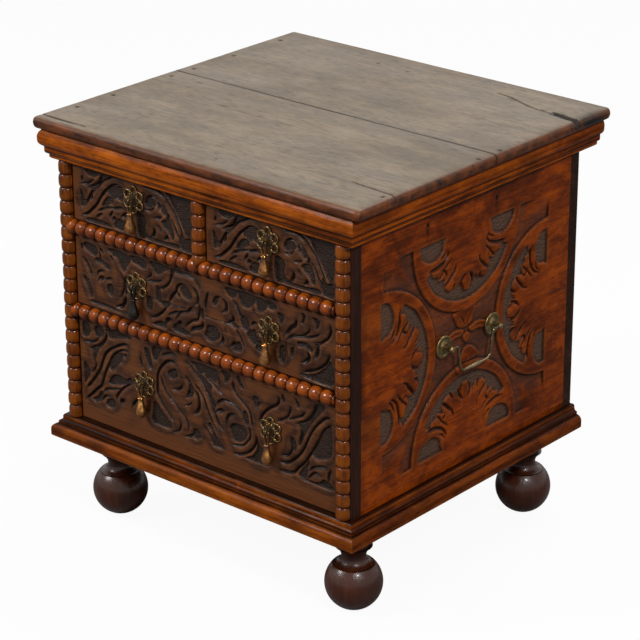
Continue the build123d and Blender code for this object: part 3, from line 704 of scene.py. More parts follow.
bottom_cuts = {
    "stem": [
        [(-195, 182), (-185, 193), (-176, 205), (-170, 214), (-166, 224), (-160, 236), (-150, 245),
         (-132, 255), (-120, 258)],
        [(-196, 167), (-185, 177), (-176, 186), (-169, 193), (-162, 211), (-153, 227), (-148, 236),
         (-139, 244), (-131, 248), (-120, 250)],
        [(-42, 257), (-49, 257), (-57, 255), (-64, 249), (-70, 242), (-74, 232), (-75, 221), (-75, 211),
         (-71, 202), (-63, 193), (-55, 186), (-50, 180)],
        [(-69, 234), (-66, 225), (-61, 216), (-55, 210), (-46, 205), (-36, 196), (-30, 191), (-26, 184),
         (-25, 176)],
        [(-28, 264), (-20, 260), (-12, 253), (-5, 246), (4, 234), (11, 223), (17, 210), (22, 200),
         (27, 194)],
        [(-12, 239), (-6, 232), (0, 225), (2, 220), (7, 209), (14, 196), (22, 186)],
        [(47, 260), (47, 252), (51, 245), (58, 240), (67, 234), (72, 227), (74, 218), (75, 211)],
        [(47, 168), (57, 170), (67, 175), (74, 181), (79, 188), (82, 195), (83, 201)],
        [(118, 180), (129, 182), (140, 190), (150, 201), (157, 214), (163, 227), (170, 238), (178, 247),
         (186, 254), (195, 257)],
        [(117, 169), (129, 170), (139, 173), (146, 181), (154, 189), (163, 202), (170, 214), (177, 227),
         (183, 238), (195, 248)],
        [(87, 220), (90, 228), (96, 236), (104, 243), (113, 249), (117, 255), (117, 261)],
        [(-144, 180), (-143, 186), (-138, 193), (-131, 200), (-123, 206), (-116, 211)],
    ],
    "leaf": [
        [(-194, 243), (-182, 245), (-174, 250), (-170, 255)],
        [(-181, 234), (-180, 225), (-177, 217), (-181, 209), (-184, 205)],
        [(-166, 185), (-159, 190), (-148, 193), (-137, 196)],
        [(-173, 169), (-168, 175), (-162, 180), (-152, 182)],
        [(-118, 179), (-114, 185), (-109, 190), (-102, 194)],
        [(-144, 262), (-132, 265), (-120, 268)],
        [(-89, 253), (-85, 247), (-83, 236)],
        [(-102, 250), (-98, 235)],
        [(-68, 259), (-59, 264), (-50, 267), (-42, 267)],
        [(-50, 221), (-42, 223), (-36, 227), (-32, 232)],
        [(-37, 184), (-38, 177), (-41, 171), (-47, 167)],
        [(-12, 180), (-16, 178), (-18, 173), (-23, 169), (-30, 166)],
        [(0, 191), (6, 184), (11, 177), (11, 171)],
        [(45, 179), (53, 180), (61, 183), (67, 189), (72, 196), (72, 205), (70, 211)],
        [(77, 248), (80, 241), (82, 234)],
        [(82, 234), (84, 241), (89, 246)],
        [(23, 260), (24, 252), (27, 244)],
        [(0, 255), (11, 248), (21, 243), (31, 237)],
        [(20, 222), (24, 227), (30, 231), (38, 232), (49, 230), (58, 225), (64, 221)],
        [(35, 202), (36, 209), (40, 215), (50, 220)],
        [(114, 229), (122, 234), (129, 239), (133, 246), (136, 255)],
        [(131, 236), (140, 241), (150, 246), (157, 253)],
        [(134, 216), (136, 206), (135, 198), (129, 191), (120, 189)],
        [(161, 181), (168, 188), (178, 192), (190, 195)],
        [(158, 170), (165, 178), (171, 182), (179, 183)],
        [(194, 193), (191, 186), (190, 177)],
    ],
    "vein": [
        [(-185, 261), (-183, 255)],
        [(-111, 170), (-110, 177), (-107, 180)],
        [(-136, 236), (-133, 231), (-130, 228)],
        [(-31, 206), (-24, 209), (-18, 214)],
        [(42, 196), (42, 200), (46, 205), (52, 207)],
    ],
    "broad": [
        [(-185, 236), (-174, 241), (-166, 247), (-160, 255), (-157, 263)],
        [(-137, 175), (-136, 180), (-131, 184)],
        [(-27, 244), (-22, 238), (-21, 230), (-24, 223), (-28, 218)],
        [(-14, 231), (-9, 223), (-8, 214), (-10, 206), (-15, 200)],
        [(20, 213), (25, 216), (33, 219)],
        [(144, 235), (153, 239), (161, 245), (167, 253), (171, 261), (172, 268)],
        [(149, 232), (151, 225), (149, 217), (147, 209)],
    ],
    "faint": [[(-174, 185), (-160, 198)]],
}
bottom_grounds = [
    [(-186, 236), (-174, 241), (-168, 245), (-172, 236), (-178, 222), (-178, 217), (-182, 232)],
    [(-129, 244), (-125, 245), (-123, 241), (-126, 239), (-129, 241)],
    [(-57, 241), (-53, 245), (-45, 249), (-41, 246), (-41, 239), (-53, 234)],
    [(-27, 245), (-20, 240), (-16, 230), (-18, 221), (-28, 217), (-24, 224), (-23, 233)],
    [(-18, 266), (-2, 267), (22, 266), (23, 258), (20, 250), (10, 250), (0, 255), (-6, 252), (-12, 258)],
    [(-10, 255), (0, 252), (6, 248), (14, 243), (12, 236), (14, 229), (8, 228), (0, 240)],
    [(29, 268), (33, 261), (35, 254), (40, 258), (44, 267)],
    [(53, 268), (56, 259), (61, 254), (64, 256), (60, 262), (58, 268)],
    [(43, 192), (42, 199), (46, 205), (53, 207), (62, 206), (68, 200), (64, 190), (55, 184), (47, 185)],
    [(3, 240), (8, 243), (14, 232), (18, 226), (19, 220), (17, 214), (20, 209), (26, 200), (32, 194),
     (27, 193), (20, 203), (14, 214), (9, 225), (2, 237)],
    [(-82, 196), (-76, 196), (-66, 186), (-56, 178), (-52, 170), (-60, 168), (-80, 168), (-86, 172),
     (-84, 184)],
    [(6, 192), (12, 183), (13, 169), (20, 168), (34, 169), (24, 176), (16, 186), (10, 196)],
    [(84, 196), (88, 190), (96, 184), (100, 176), (100, 168), (66, 168), (75, 174), (81, 183)],
    [(144, 236), (153, 239), (160, 241), (154, 230), (152, 222), (150, 228)],
    [(134, 217), (141, 214), (143, 205), (139, 198), (136, 206)],
    [(184, 237), (194, 246), (196, 230), (195, 210), (184, 203), (172, 200), (166, 206), (172, 216),
     (180, 230)],
    [(148, 178), (156, 188), (163, 196), (160, 184), (160, 178), (156, 170), (146, 171)],
    [(122, 266), (126, 262), (126, 256), (124, 255), (122, 260)],
    [(140, 268), (146, 263), (149, 257), (145, 255), (143, 262)],
    [(173, 268), (186, 268), (178, 256), (170, 247), (165, 244), (169, 252), (172, 262)],
    [(154, 238), (162, 244), (170, 247), (164, 238), (158, 228), (152, 215), (149, 208), (151, 222),
     (152, 230)],
    [(-198, 214), (-190, 212), (-188, 202), (-194, 192), (-198, 188)],
    [(-186, 170), (-176, 176), (-170, 184), (-166, 182), (-172, 172), (-178, 167)],
    [(-156, 222), (-148, 236), (-138, 243), (-130, 244), (-132, 236), (-140, 226), (-150, 216)],
    [(-150, 210), (-138, 214), (-126, 212), (-120, 216), (-112, 212), (-124, 205), (-140, 200),
     (-156, 198)],
    [(-160, 176), (-148, 179), (-146, 172), (-150, 167), (-162, 168)],
    [(-197, 268), (-188, 268), (-184, 262), (-188, 252), (-197, 250)],
    [(-176, 268), (-164, 268), (-162, 260), (-168, 254), (-176, 256)],
    [(-156, 269), (-120, 269.5), (-118, 266), (-134, 263), (-150, 258), (-154, 262)],
    [(-94, 262), (-86, 262), (-84, 252), (-82, 240), (-87, 238), (-92, 248)],
    [(-80, 268), (-66, 268), (-70, 260), (-76, 250), (-82, 256)],
    [(60, 222), (66, 228), (70, 222), (70, 210), (64, 212)],
    [(78, 250), (86, 250), (84, 242), (82, 236), (79, 243)],
    [(150, 168), (196, 168), (196, 174), (184, 178), (176, 172), (160, 170)],
    [(-16, 180), (-8, 180), (-6, 172), (-12, 168), (-18, 170)],
]

middle_cuts = {
    "stem": [
        [(-25, 359), (-32, 358), (-38, 354), (-41, 347), (-46, 341), (-50, 335), (-52, 331)],
        [(-55, 328), (-59, 320), (-66, 313), (-73, 308), (-80, 304)],
        [(-43, 371), (-28, 373), (-13, 372), (-6, 367), (0, 359)],
        [(49, 360), (54, 355), (58, 348), (61, 342), (64, 340)],
        [(54, 326), (58, 320), (63, 312), (67, 305)],
        [(194, 369), (194, 360), (190, 352), (183, 346), (177, 342), (170, 341)],
        [(194, 333), (190, 326), (185, 319), (177, 312), (168, 307), (154, 301)],
        [(-68, 344), (-60, 347), (-52, 354), (-48, 362), (-47, 370)],
    ],
    "broad": [
        [(-191, 353), (-185, 345), (-180, 337), (-177, 330)],
        [(-189, 328), (-182, 319), (-178, 308)],
        [(-167, 329), (-162, 333), (-157, 335)],
        [(-121, 320), (-124, 312), (-130, 305), (-139, 302)],
        [(-12, 360), (-8, 354), (-6, 348), (-7, 342), (-9, 339)],
        [(-32, 312), (-37, 308), (-37, 302)],
        [(-48, 311), (-55, 308), (-59, 302)],
        [(2, 321), (1, 316), (-4, 312), (-9, 310), (-14, 308), (-18, 303)],
        [(35, 358), (38, 352), (38, 346), (34, 341)],
        [(49, 342), (49, 337), (47, 333), (40, 330)],
        [(33, 312), (32, 306), (29, 301)],
        [(51, 310), (49, 306), (45, 302)],
        [(145, 362), (142, 355), (136, 350), (131, 344), (128, 339)],
        [(175, 340), (175, 333), (173, 327), (171, 323)],
        [(161, 328), (162, 321), (158, 316), (154, 313)],
        [(181, 302), (183, 305), (190, 308)],
    ],
    "leaf": [
        [(-193, 370), (-193, 361)],
        [(-164, 366), (-162, 356)],
        [(-145, 366), (-141, 359)],
        [(-169, 335), (-166, 340), (-157, 344)],
        [(-155, 332), (-150, 335), (-143, 337)],
        [(-145, 329), (-151, 325), (-151, 319), (-146, 315)],
        [(-130, 349), (-126, 341), (-125, 331), (-127, 323), (-130, 316)],
        [(-87, 351), (-82, 355), (-78, 361)],
        [(-86, 349), (-73, 351), (-62, 355)],
        [(-69, 342), (-68, 335)],
        [(-4, 342), (-3, 337), (-5, 328), (-7, 321), (-16, 317), (-23, 311), (-25, 307)],
        [(-14, 335), (-18, 332), (-23, 327), (-34, 323), (-39, 317), (-42, 312)],
        [(-35, 324), (-46, 319), (-53, 315)],
        [(11, 360), (8, 353), (6, 345), (6, 338)],
        [(76, 336), (79, 340), (85, 343)],
        [(79, 330), (83, 333)],
        [(165, 358), (162, 352), (156, 347), (149, 343), (139, 341), (134, 338), (131, 334)],
        [(179, 354), (171, 349), (160, 345), (143, 342)],
    ],
    "faint": [
        [(36, 324), (39, 315)],
        [(79, 361), (83, 351)],
        [(129, 333), (129, 323), (131, 313)],
    ],
}
middle_grounds = [
    [(-188, 372), (-170, 371), (-166, 364), (-172, 358), (-182, 361), (-190, 366)],
    [(-162, 371), (-157, 368), (-158, 364), (-163, 367)],
    [(-142, 371), (-136, 370), (-137, 366), (-141, 366)],
    [(-130, 365), (-122, 360), (-119, 350), (-123, 354), (-128, 360)],
    [(-69, 343), (-66, 336), (-70, 331), (-70, 338)],
    [(-77, 373), (-66, 373), (-67, 363), (-70, 362)],
    [(-90, 371), (-86, 371), (-88, 361)],
    [(-29, 356), (-24, 358), (-20, 352), (-22, 345), (-26, 348)],
    [(-39, 348), (-34, 346), (-33, 342), (-38, 342)],
    [(17, 349), (19, 355), (24, 359), (31, 360), (27, 356), (25, 350), (20, 346)],
    [(42, 371), (50, 370), (48, 365), (43, 366)],
    [(60, 373), (73, 373), (75, 366), (68, 363), (62, 367)],
    [(82, 372), (88, 371), (92, 362), (86, 362)],
    [(65, 342), (70, 340), (69, 333), (65, 334)],
    [(74, 330), (81, 327), (81, 321), (76, 323)],
    [(171, 340), (178, 342), (177, 336), (174, 334)],
    [(141, 328), (136, 325), (135, 318), (138, 314), (140, 320)],
    [(152, 372), (158, 371), (156, 362), (151, 360), (153, 366)],
    [(168, 371), (178, 370), (177, 361), (173, 358), (172, 364)],
    [(117, 363), (126, 362), (124, 353), (120, 350)],
    [(150, 299), (165, 302), (178, 309), (186, 317), (192, 325), (197, 322), (197, 297), (160, 296)],
    [(-150, 372), (-140, 375), (-122, 374), (-112, 368), (-120, 356), (-124, 350), (-130, 356), (-134, 364),
     (-142, 368)],
    [(-112, 374), (-90, 374), (-88, 366), (-92, 362), (-100, 364), (-110, 367)],
    [(-80, 375), (-52, 375), (-50, 371), (-58, 368), (-66, 362), (-72, 361), (-76, 367)],
    [(-47, 374), (-30, 375.5), (-34, 372), (-42, 370), (-44, 362), (-48, 366)],
    [(-152, 327), (-146, 329), (-142, 326), (-143, 318), (-147, 314), (-152, 318)],
    [(-190, 330), (-184, 322), (-179, 312), (-178, 305), (-182, 304), (-186, 314), (-192, 324)],
    [(-88, 328), (-80, 330), (-78, 322), (-80, 314), (-88, 314)],
    [(-72, 346), (-66, 344), (-64, 334), (-66, 326), (-72, 330)],
    [(-66, 328), (-56, 331), (-50, 330), (-52, 325), (-60, 322)],
    [(-178, 301), (-150, 300.5), (-120, 299), (-110, 297), (-150, 296.5), (-180, 297)],
    [(-46, 303), (-40, 308), (-34, 305), (-24, 303), (-18, 300), (-26, 297), (-44, 298)],
    [(-33, 357), (-25, 359), (-18, 354), (-14, 346), (-20, 342), (-28, 344), (-34, 350)],
    [(38, 373), (50, 374), (56, 372), (52, 364), (46, 362), (40, 367)],
    [(56, 374), (82, 374), (84, 368), (78, 360), (70, 356), (62, 358), (58, 366)],
    [(84, 373), (98, 373), (100, 364), (94, 358), (88, 356), (85, 364)],
    [(62, 345), (70, 344), (74, 336), (70, 328), (64, 330), (60, 338)],
    [(72, 331), (82, 329), (86, 322), (82, 314), (74, 318), (70, 324)],
    [(84, 320), (95, 319), (97, 310), (90, 308), (83, 312)],
    [(100, 373), (112, 373), (116, 368), (108, 364), (100, 366)],
    [(44, 333), (54, 332), (58, 327), (50, 327)],
    [(119, 322), (126, 326), (128, 314), (124, 304), (118, 308)],
    [(-2, 334), (2, 338), (4, 330), (2, 322), (-3, 326)],
    [(8, 318), (20, 320), (28, 314), (26, 306), (14, 300), (4, 304), (6, 312)],
    [(52, 308), (58, 312), (62, 306), (60, 300), (48, 299)],
    [(-75, 300), (-64, 304), (-56, 300), (-60, 296.5), (-78, 297)],
    [(-172, 352), (-160, 350), (-150, 346), (-146, 350), (-156, 355), (-168, 357)],
    [(-118, 346), (-116, 330), (-121, 322), (-124, 330), (-124, 342)],
    [(146, 336), (158, 338), (168, 334), (166, 328), (156, 332), (147, 331)],
]

# Both short drawers carry one pattern, given for the left one
top_cuts = {
    "stem": [
        [(-189, 406), (-181, 410), (-173, 417), (-166, 424), (-159, 434), (-152, 443), (-145, 449),
         (-138, 454), (-128, 457)],
        [(-190, 418), (-182, 424), (-171, 441), (-163, 447), (-153, 457), (-145, 461), (-137, 466),
         (-123, 468)],
        [(-85, 449), (-80, 453), (-74, 455), (-66, 451), (-62, 450), (-56, 445), (-43, 431), (-37, 421),
         (-33, 414), (-32, 407)],
        [(-87, 466), (-70, 466), (-55, 460), (-50, 455), (-44, 448), (-39, 441), (-34, 432), (-30, 425),
         (-25, 418)],
    ],
    "broad": [
        [(-157, 464), (-158, 457), (-162, 451), (-168, 447), (-177, 443)],
        [(-125, 418), (-117, 423), (-112, 426)],
        [(-139, 409), (-138, 413), (-134, 415)],
        [(-67, 451), (-64, 446), (-64, 441)],
        [(-53, 441), (-51, 436), (-52, 430)],
        [(-72, 418), (-72, 413), (-75, 407), (-78, 405)],
        [(-52, 414), (-53, 409), (-57, 407)],
    ],
    "leaf": [
        [(-172, 437), (-173, 432), (-177, 427)],
        [(-187, 456), (-189, 448)],
        [(-188, 445), (-178, 448), (-168, 455)],
        [(-168, 407), (-162, 412), (-155, 416)],
        [(-164, 416), (-156, 421), (-146, 425), (-137, 426), (-128, 429), (-120, 430)],
        [(-145, 413), (-143, 417), (-139, 423)],
        [(-126, 406), (-121, 409), (-116, 414)],
        [(-134, 448), (-133, 443)],
        [(-146, 437), (-143, 431)],
        [(-26, 436), (-23, 441), (-18, 444)],
        [(-23, 430), (-20, 433), (-16, 434)],
        [(-41, 464), (-38, 455)],
        [(-85, 437), (-78, 438), (-73, 441), (-71, 443)],
        [(-70, 430), (-63, 432), (-59, 434)],
        [(-66, 423), (-62, 419), (-61, 415)],
    ],
}
top_grounds = [
    [(-192, 436), (-190, 437), (-186, 430), (-182, 422), (-187, 419), (-191, 417)],
    [(-176, 443), (-168, 446), (-161, 451), (-157, 458), (-156, 464), (-150, 466), (-140, 467), (-146, 461),
     (-155, 456), (-163, 446), (-170, 437), (-173, 440)],
    [(-182, 467), (-179, 459), (-170, 457), (-161, 461), (-159, 467)],
    [(-147, 445), (-140, 452), (-130, 455), (-121, 455), (-119, 444), (-124, 438), (-131, 440), (-137, 437),
     (-143, 440)],
    [(-52, 466), (-45, 458), (-40, 447), (-33, 436), (-26, 426), (-15, 420), (-14, 466)],
    [(-86, 447), (-80, 452), (-73, 453), (-68, 449), (-70, 444), (-77, 440), (-84, 440)],
    [(-137, 403), (-136, 411), (-128, 415), (-120, 413), (-116, 407), (-120, 402)],
    [(-100, 428), (-90, 430), (-84, 424), (-86, 414), (-82, 404), (-98, 402)],
    [(-30, 422), (-24, 416), (-14, 418), (-14, 402), (-29, 402), (-32, 411)],
    [(-82, 405), (-60, 404.5), (-36, 406), (-34, 401), (-60, 400.5), (-84, 401)],
    [(-182, 404), (-160, 406), (-140, 403), (-150, 400.5), (-180, 400.5)],
    [(-157, 425), (-150, 436), (-142, 439), (-136, 434), (-144, 429), (-150, 424)],
    [(-62, 445), (-57, 450), (-51, 444), (-52, 437), (-58, 438)],
    [(-60, 429), (-48, 433), (-44, 426), (-40, 414), (-44, 410), (-50, 418), (-57, 422)],
]
top_drawer_shift = 212.5

# How far a front's carved skin reaches back, and the width of its eased edges
SKIN_DEPTH = 4.5
ARRIS = 0.7


def carve(board, cuts, grounds, shift):
    """Makes every cut and sinks every ground of a pattern, moved sideways by shift."""
    for kind, strokes in cuts.items():
        for points in strokes:
            board.stroke([(u + shift, v) for u, v in points], *GOUGES[kind])
    for points in grounds:
        board.ground([(u + shift, v) for u, v in points])


def carved_front(drawer, cuts, grounds, step, seed, shift=0.0, crack=None):
    """A drawer front: a carved skin over the CAD front, whose face is drawn back to the skin's foot, so
    that its dovetail sockets stay."""
    node = f"{drawer}_front"
    low, high = node_box(node)
    board = Carving((low[0], high[0]), (low[2], high[2]), step, seed)
    carve(board, cuts, grounds, shift)
    if crack is not None:
        board.stroke(crack, *GOUGES["crack"])
    depth, values = board.dressed(0.2, 0.65, 1.7)
    edge = np.minimum.reduce([board.uu - low[0], high[0] - board.uu, board.vv - low[2], high[2] - board.vv])
    depth = depth + ARRIS * np.clip(1 - edge / ARRIS, 0, 1) ** 2
    values["rubbed"] = np.maximum(values["rubbed"], 0.5 * np.clip(1 - edge / 1.6, 0, 1))
    values["tint"] = 1 - smooth_step(blurred(board.depth, round(6 / board.step)) / 0.4)
    shell = Shell()
    skin_back = low[1] + SKIN_DEPTH
    shell.slab(np.stack([board.uu, low[1] + depth, board.vv], axis=-1), ALONG_Y, skin_back, **values)
    points, corners = cad_triangles(node)
    points[:, 1] = np.maximum(points[:, 1], skin_back)
    shell.triangles(points, corners)
    make_piece(f"carved_{node}", shell, front_oak, drawer, [node])


middle_crack = [(-135, 330), (-90, 329), (-40, 330), (10, 329), (60, 330), (110, 329)]
carved_front("top_left_drawer", top_cuts, top_grounds, 0.7, 11)
carved_front("top_right_drawer", top_cuts, top_grounds, 0.7, 12, top_drawer_shift)
carved_front("middle_drawer", middle_cuts, middle_grounds, 0.75, 13, crack=middle_crack)
carved_front("bottom_drawer", bottom_cuts, bottom_grounds, 0.8, 14)

# ---------------------------------------------------------------- carving of the side boards

# The carved square and its four strap arcs, given as y and z on the right side
square_y = (-157.0, 149.0)
square_z = (164.0, 430.0)
square_centre = np.array([-5.0, 297.5])
strap_outer = 98.0
strap_inner = 86.0
strap_arcs = [
    (np.array([-6.0, 430.0]), np.array([0.0, -1.0])),
    (np.array([-6.0, 165.0]), np.array([0.0, 1.0])),
    (np.array([-161.0, 297.5]), np.array([1.0, 0.0])),
    (np.array([149.0, 300.0]), np.array([-1.0, 0.0])),
]
lobe_tip = 75.0
lobe_notch = 58.5
lobe_pitch = 27.0
fan_half_angle = 62.0
spandrel_fade = 27.0
diamond_half = (155.0, 133.0)
side_wall = 1.3

# Under each arc, as (out from the square's side, sideways): the sunk shapes beside the fan of lobes,
# and the gouge cuts, all mirrored to the other half
arc_grounds = [
    [(-3, 44), (8, 44), (17, 46), (22, 54), (24, 64), (21, 75), (15, 83), (6, 87), (-3, 87)],
    [(44, 72), (43, 62), (45, 53), (54, 54), (62, 54), (70, 48), (66, 57), (57, 65)],
]
arc_cuts = {
    "broad": [
        [(34, 71), (34, 60), (32, 50), (28, 39)],
        [(62, 44), (55, 34), (46, 25)],
        [(72, 34), (68, 26), (60, 22)],
        [(75, 13), (68, 12), (60, 9), (54, 4)],
    ],
    "stem": [
        [(17, 34), (25, 38), (31, 46)],
        [(82, 8), (78, 15), (70, 19), (61, 18)],
    ],
    "leaf": [
        [(38, 21), (46, 24), (54, 31)],
        [(78, 4), (70, 8), (60, 10)],
        [(48, 38), (42, 40), (37, 47)],
        [(50, 55), (45, 48), (38, 42), (30, 32)],
        [(24, 50), (21, 42), (15, 36)],
    ],
}


def palmette(board, centre, axis):
    """The half-round under a strap arc: a fan whose edge swells into lobes, as far out as the square root
    of a cosine says, ground between it and the strap, and the shapes listed above on both sides."""
    left = np.array([-axis[1], axis[0]])
    u, v = board.uu - centre[0], board.vv - centre[1]
    along, across = u * axis[0] + v * axis[1], u * left[0] + v * left[1]
    radius = np.hypot(along, across)
    angle = np.degrees(np.arctan2(across, along))
    swell = np.sqrt(np.abs(np.cos(np.radians(180) * angle / lobe_pitch)))
    edge = lobe_notch + (lobe_tip - lobe_notch) * swell
    gap = np.minimum(radius - edge, strap_inner - radius)
    gap = np.minimum(gap, (fan_half_angle - np.abs(angle)) * 1.2)
    fall = smooth_step(gap / side_wall) * (along > 0)
    board.lower(GROUND_DEPTH * fall, fall)

    def placed(points, side):
        return [centre + out * axis + side * sideways * left for out, sideways in points]

    for side in (-1, 1):
        for points in arc_grounds:
            board.ground(placed(points, side), side_wall, (along > 0.5) & (radius < strap_inner))
        for kind, strokes in arc_cuts.items():
            for points in strokes:
                board.stroke(placed(points, side), *GOUGES[kind])


def strap_grounds(board):
    """The ground outside the four arcs: an evenly sunk diamond in the middle, and corners that run out to
    the board's face."""
    outside = np.full_like(board.uu, 1e3)
    for centre, _ in strap_arcs:
        outside = np.minimum(outside, np.hypot(board.uu - centre[0], board.vv - centre[1]) - strap_outer)
    diamond = np.abs(board.uu - square_centre[0]) / diamond_half[0]
    diamond = diamond + np.abs(board.vv - square_centre[1]) / diamond_half[1]
    edge = smooth_step(outside / side_wall)
    fade = np.where(diamond < 1, 1.0, smooth_step(1.15 - outside / spandrel_fade))
    within = (board.uu > square_y[0]) & (board.uu < square_y[1])
    within &= (board.vv > square_z[0]) & (board.vv < square_z[1])
    board.lower(GROUND_DEPTH * 0.9 * edge * fade * within, 0.4 * edge * fade**2 * within)


# The leaves that stand in the middle diamond, as outlines, and the cuts over them
middle_leaves = [
    [(-30, 331), (-9, 333), (12, 331), (8, 320), (3, 311), (-9, 308), (-20, 311), (-26, 320)],
    [(-46, 301), (-36, 308), (-22, 310), (-10, 306), (-14, 299), (-26, 299), (-36, 297)],
    [(36, 301), (26, 308), (12, 310), (0, 306), (4, 299), (16, 299), (26, 297)],
    [(-12, 298), (-5, 302), (2, 298), (-1, 291), (-5, 288), (-9, 291)],
    [(-18, 267), (-5, 264), (20, 266), (14, 276), (4, 283), (-5, 285), (-12, 279)],
]
middle_leaf_veins = [
    [(-40, 302), (-28, 305), (-16, 304)],
    [(30, 302), (18, 305), (6, 304)],
    [(-18, 326), (-12, 318), (-9, 311)],
    [(2, 326), (-3, 318), (-7, 311)],
]


def margin_lines(low, square, high, below, above):
    """Grid lines right across a board: a few over each plain margin, and the square's own between."""
    return [np.linspace(low, square[0], below)[:-1], square, np.linspace(square[-1], high, above)[1:]]


def side_board(name, side, step, seed):
    """A carved side board. The square is an even fine grid; the plain margins have only a few lines. The
    left board is the right one mirrored."""
    node = f"{name}_side_board"
    margin = np.array([-6.0, 6.0])
    board = Carving(square_y + margin, square_z + margin, step, seed)
    strap_grounds(board)
    for points in middle_leaves:
        board.leaf(points, 2.2)
    for points in middle_leaf_veins:
        board.stroke(points, *GOUGES["vein"])
    for centre, axis in strap_arcs:
        palmette(board, centre, axis)
    depth, values = board.dressed(0.12, 0.3, 1.3)
    carved = smooth_step(blurred(board.depth, round(5 / board.step)) / 0.5)
    values["grime"] = np.clip(values["grime"] + 0.11 * carved, 0, 1)
    low, high = node_box(node)
    y_lines = margin_lines(low[1], board.u, high[1], 7, 8)
    z_lines = margin_lines(low[2], board.v, high[2], 8, 10)
    pad = [(len(z_lines[0]), len(z_lines[2])), (len(y_lines[0]), len(y_lines[2]))]
    depth = np.pad(depth, pad, mode="edge")
    values = {key: np.pad(value, pad, mode="edge") for key, value in values.items()}
    yy, zz = np.meshgrid(np.concatenate(y_lines), np.concatenate(z_lines))
    shell = Shell()
    face = np.stack([side * (half_body - depth), yy, zz], axis=-1)
    shell.slab(face, ALONG_X, side * inner_x, **values)
    make_piece(f"carved_{node}", shell, side_oak, "carcass", [node])


side_board("right", 1, 1.02, 21)
side_board("left", -1, 1.3, 22)

# ---------------------------------------------------------------- bead strips

bead_radius = front_y - node_box("stile_bead_strips")[0][1]
bead_pitch = 16.5
end_bead = 4.0
strip_x = half_body - 10.0
upper_z = rails_high[2] - bead_radius
lower_z = rails_low[2] + bead_radius
level_end = node_box("upper_bead_strip")[1][0]


def bead_string(shell, start, direction, length, end_length, groove, fullness, seed, mitred=False):
    """Half of a turned string of beads with its flat back on the frame. Along the string each bead
    swells from the groove's radius by a crown: one less the distance from its middle to the power of
    fullness, and that to the power of crown_power. Across it is a half circle. A small turned end may
    follow the last bead. A mitred string starts at its distance from the axis, so that its end is a V."""
    crown_power = 0.62
    bead_rings, end_rings, ring_points = 17, 9, 25
    random = np.random.default_rng(seed)
    count = round((length - end_length) / bead_pitch)
    pitch = (length - end_length) / count
    crest = bead_radius - random.uniform(0.0, 0.45, count)
    shift = random.uniform(-0.12, 0.12, count)
    turn = -np.cos(np.linspace(0, np.pi, bead_rings))
    bead = np.repeat(np.arange(count), len(turn))
    place = np.tile(turn, count)
    crown = (1 - np.abs(place + shift[bead] * (1 - place**2)) ** fullness) ** crown_power
    radius = groove + (crest[bead] - groove) * np.clip(crown, 0, 1)
    along = (bead + 0.5 + place / 2) * pitch
    hollow = 1 - np.clip(crown * 1.6, 0, 1)
    crest_light = np.clip(crown, 0, 1)
    tint = random.uniform(0, 1, count)[bead]
    if end_length:
        radius = np.append(radius, groove + 1.5 * np.sin(np.linspace(0, np.pi, end_rings)))
        along = np.append(along, length - end_length + np.linspace(0, end_length, end_rings))
        hollow = np.append(hollow, np.full(end_rings, 0.3))
        crest_light = np.append(crest_light, np.zeros(end_rings))
        tint = np.append(tint, np.full(end_rings, 0.5))
    angle = np.linspace(0, np.pi, ring_points)
    across = radius[:, None] * np.cos(angle)
    proud = radius[:, None] * np.sin(angle)
    run = np.repeat(along[:, None], len(angle), axis=1)
    if mitred:
        lead = 1.2 * bead_radius
        trimmed = np.abs(across) + (lead - np.abs(across)) * run / lead
        run = np.where(run < lead, trimmed, run)
    sideways = np.array([direction[2], 0, -direction[0]])
    points = np.array(start) + run[..., None] * np.array(direction) + across[..., None] * sideways
    points[..., 1] = front_y - proud
    # Painted shade: the grooves between the beads are darkened, and so is the lower half of each level
    # string's beads
    underside_shade = 0.62 * direction[0] * smooth_step(np.cos(angle) + 0.25)
    grime = np.maximum(hollow[:, None] ** 1.5 * 0.95, underside_shade)
    shell.rod(points, grime=grime, rubbed=0.5 * crest_light[:, None] ** 3, tint=tint[:, None])


def bead_strips():
    """The two stile strings, the centre one and the two level ones, whose left ends are mitred, as is the
    centre one's foot."""
    up, right = (0, 0, 1), (1, 0, 0)
    stiles = Shell()
    for seed, x in ((31, -strip_x), (32, strip_x)):
        bead_string(stiles, (x, front_y, base_top), up, cornice_z - base_top, 0, 6.7, 3.4, seed)
    make_piece("turned_stile_beads", stiles, bead_walnut_z_shaded, "carcass", ["stile_bead_strips"])
    centre = Shell()
    bead_string(centre, (0, front_y, upper_z), up, cornice_z - upper_z, 0, 6.2, 3.0, 35, mitred=True)
    make_piece("turned_centre_beads", centre, bead_walnut_z_shaded, "carcass", ["centre_bead_strip"])
    for name, z, seed in (("upper", upper_z, 36), ("lower", lower_z, 37)):
        level = Shell()
        length = level_end + strip_x
        bead_string(level, (-strip_x, front_y, z), right, length, end_bead, 5.0, 2.5, seed, mitred=True)
        node = f"{name}_bead_strip"
        make_piece(f"turned_{name}_beads", level, bead_walnut_x, "carcass", [node])


bead_strips()

# ---------------------------------------------------------------- mouldings


def cornice_profile():
    """Outwards and up: a chamfered foot, a cove, a fillet and a roll under the top."""
    return np.vstack([
        [(0, 469.5), (7, 469.5)],
        [(8.5, 471), (8.5, 475)],
        arc((8.5, 475), (12.5, 478.5), -1.0),
        [(12.5, 484.3)],
        [(13.2, 484.5)],
        arc((13.4, 484.8), (18, 493.5), -1.6),
        arc((18, 493.5), (14, 505), -1.6),
        [(0, 505)],
    ])


def base_profile():
    """Outwards and up: a rounded toe, a flat face, a thumb, a fillet, a cove and a small astragal."""
    return np.vstack([
        [(0, 110), (15, 110)],
        arc((15, 110), (18, 113), -0.9),
        [(18, 120)],
        arc((18, 120), (11, 127), -2.0),
        [(11, 130.5)],
        arc((11, 130.5), (7, 134.5), 1.0),
        arc((7, 134.5), (5.5, 139), -0.7),
        [(0, 139)],
    ])


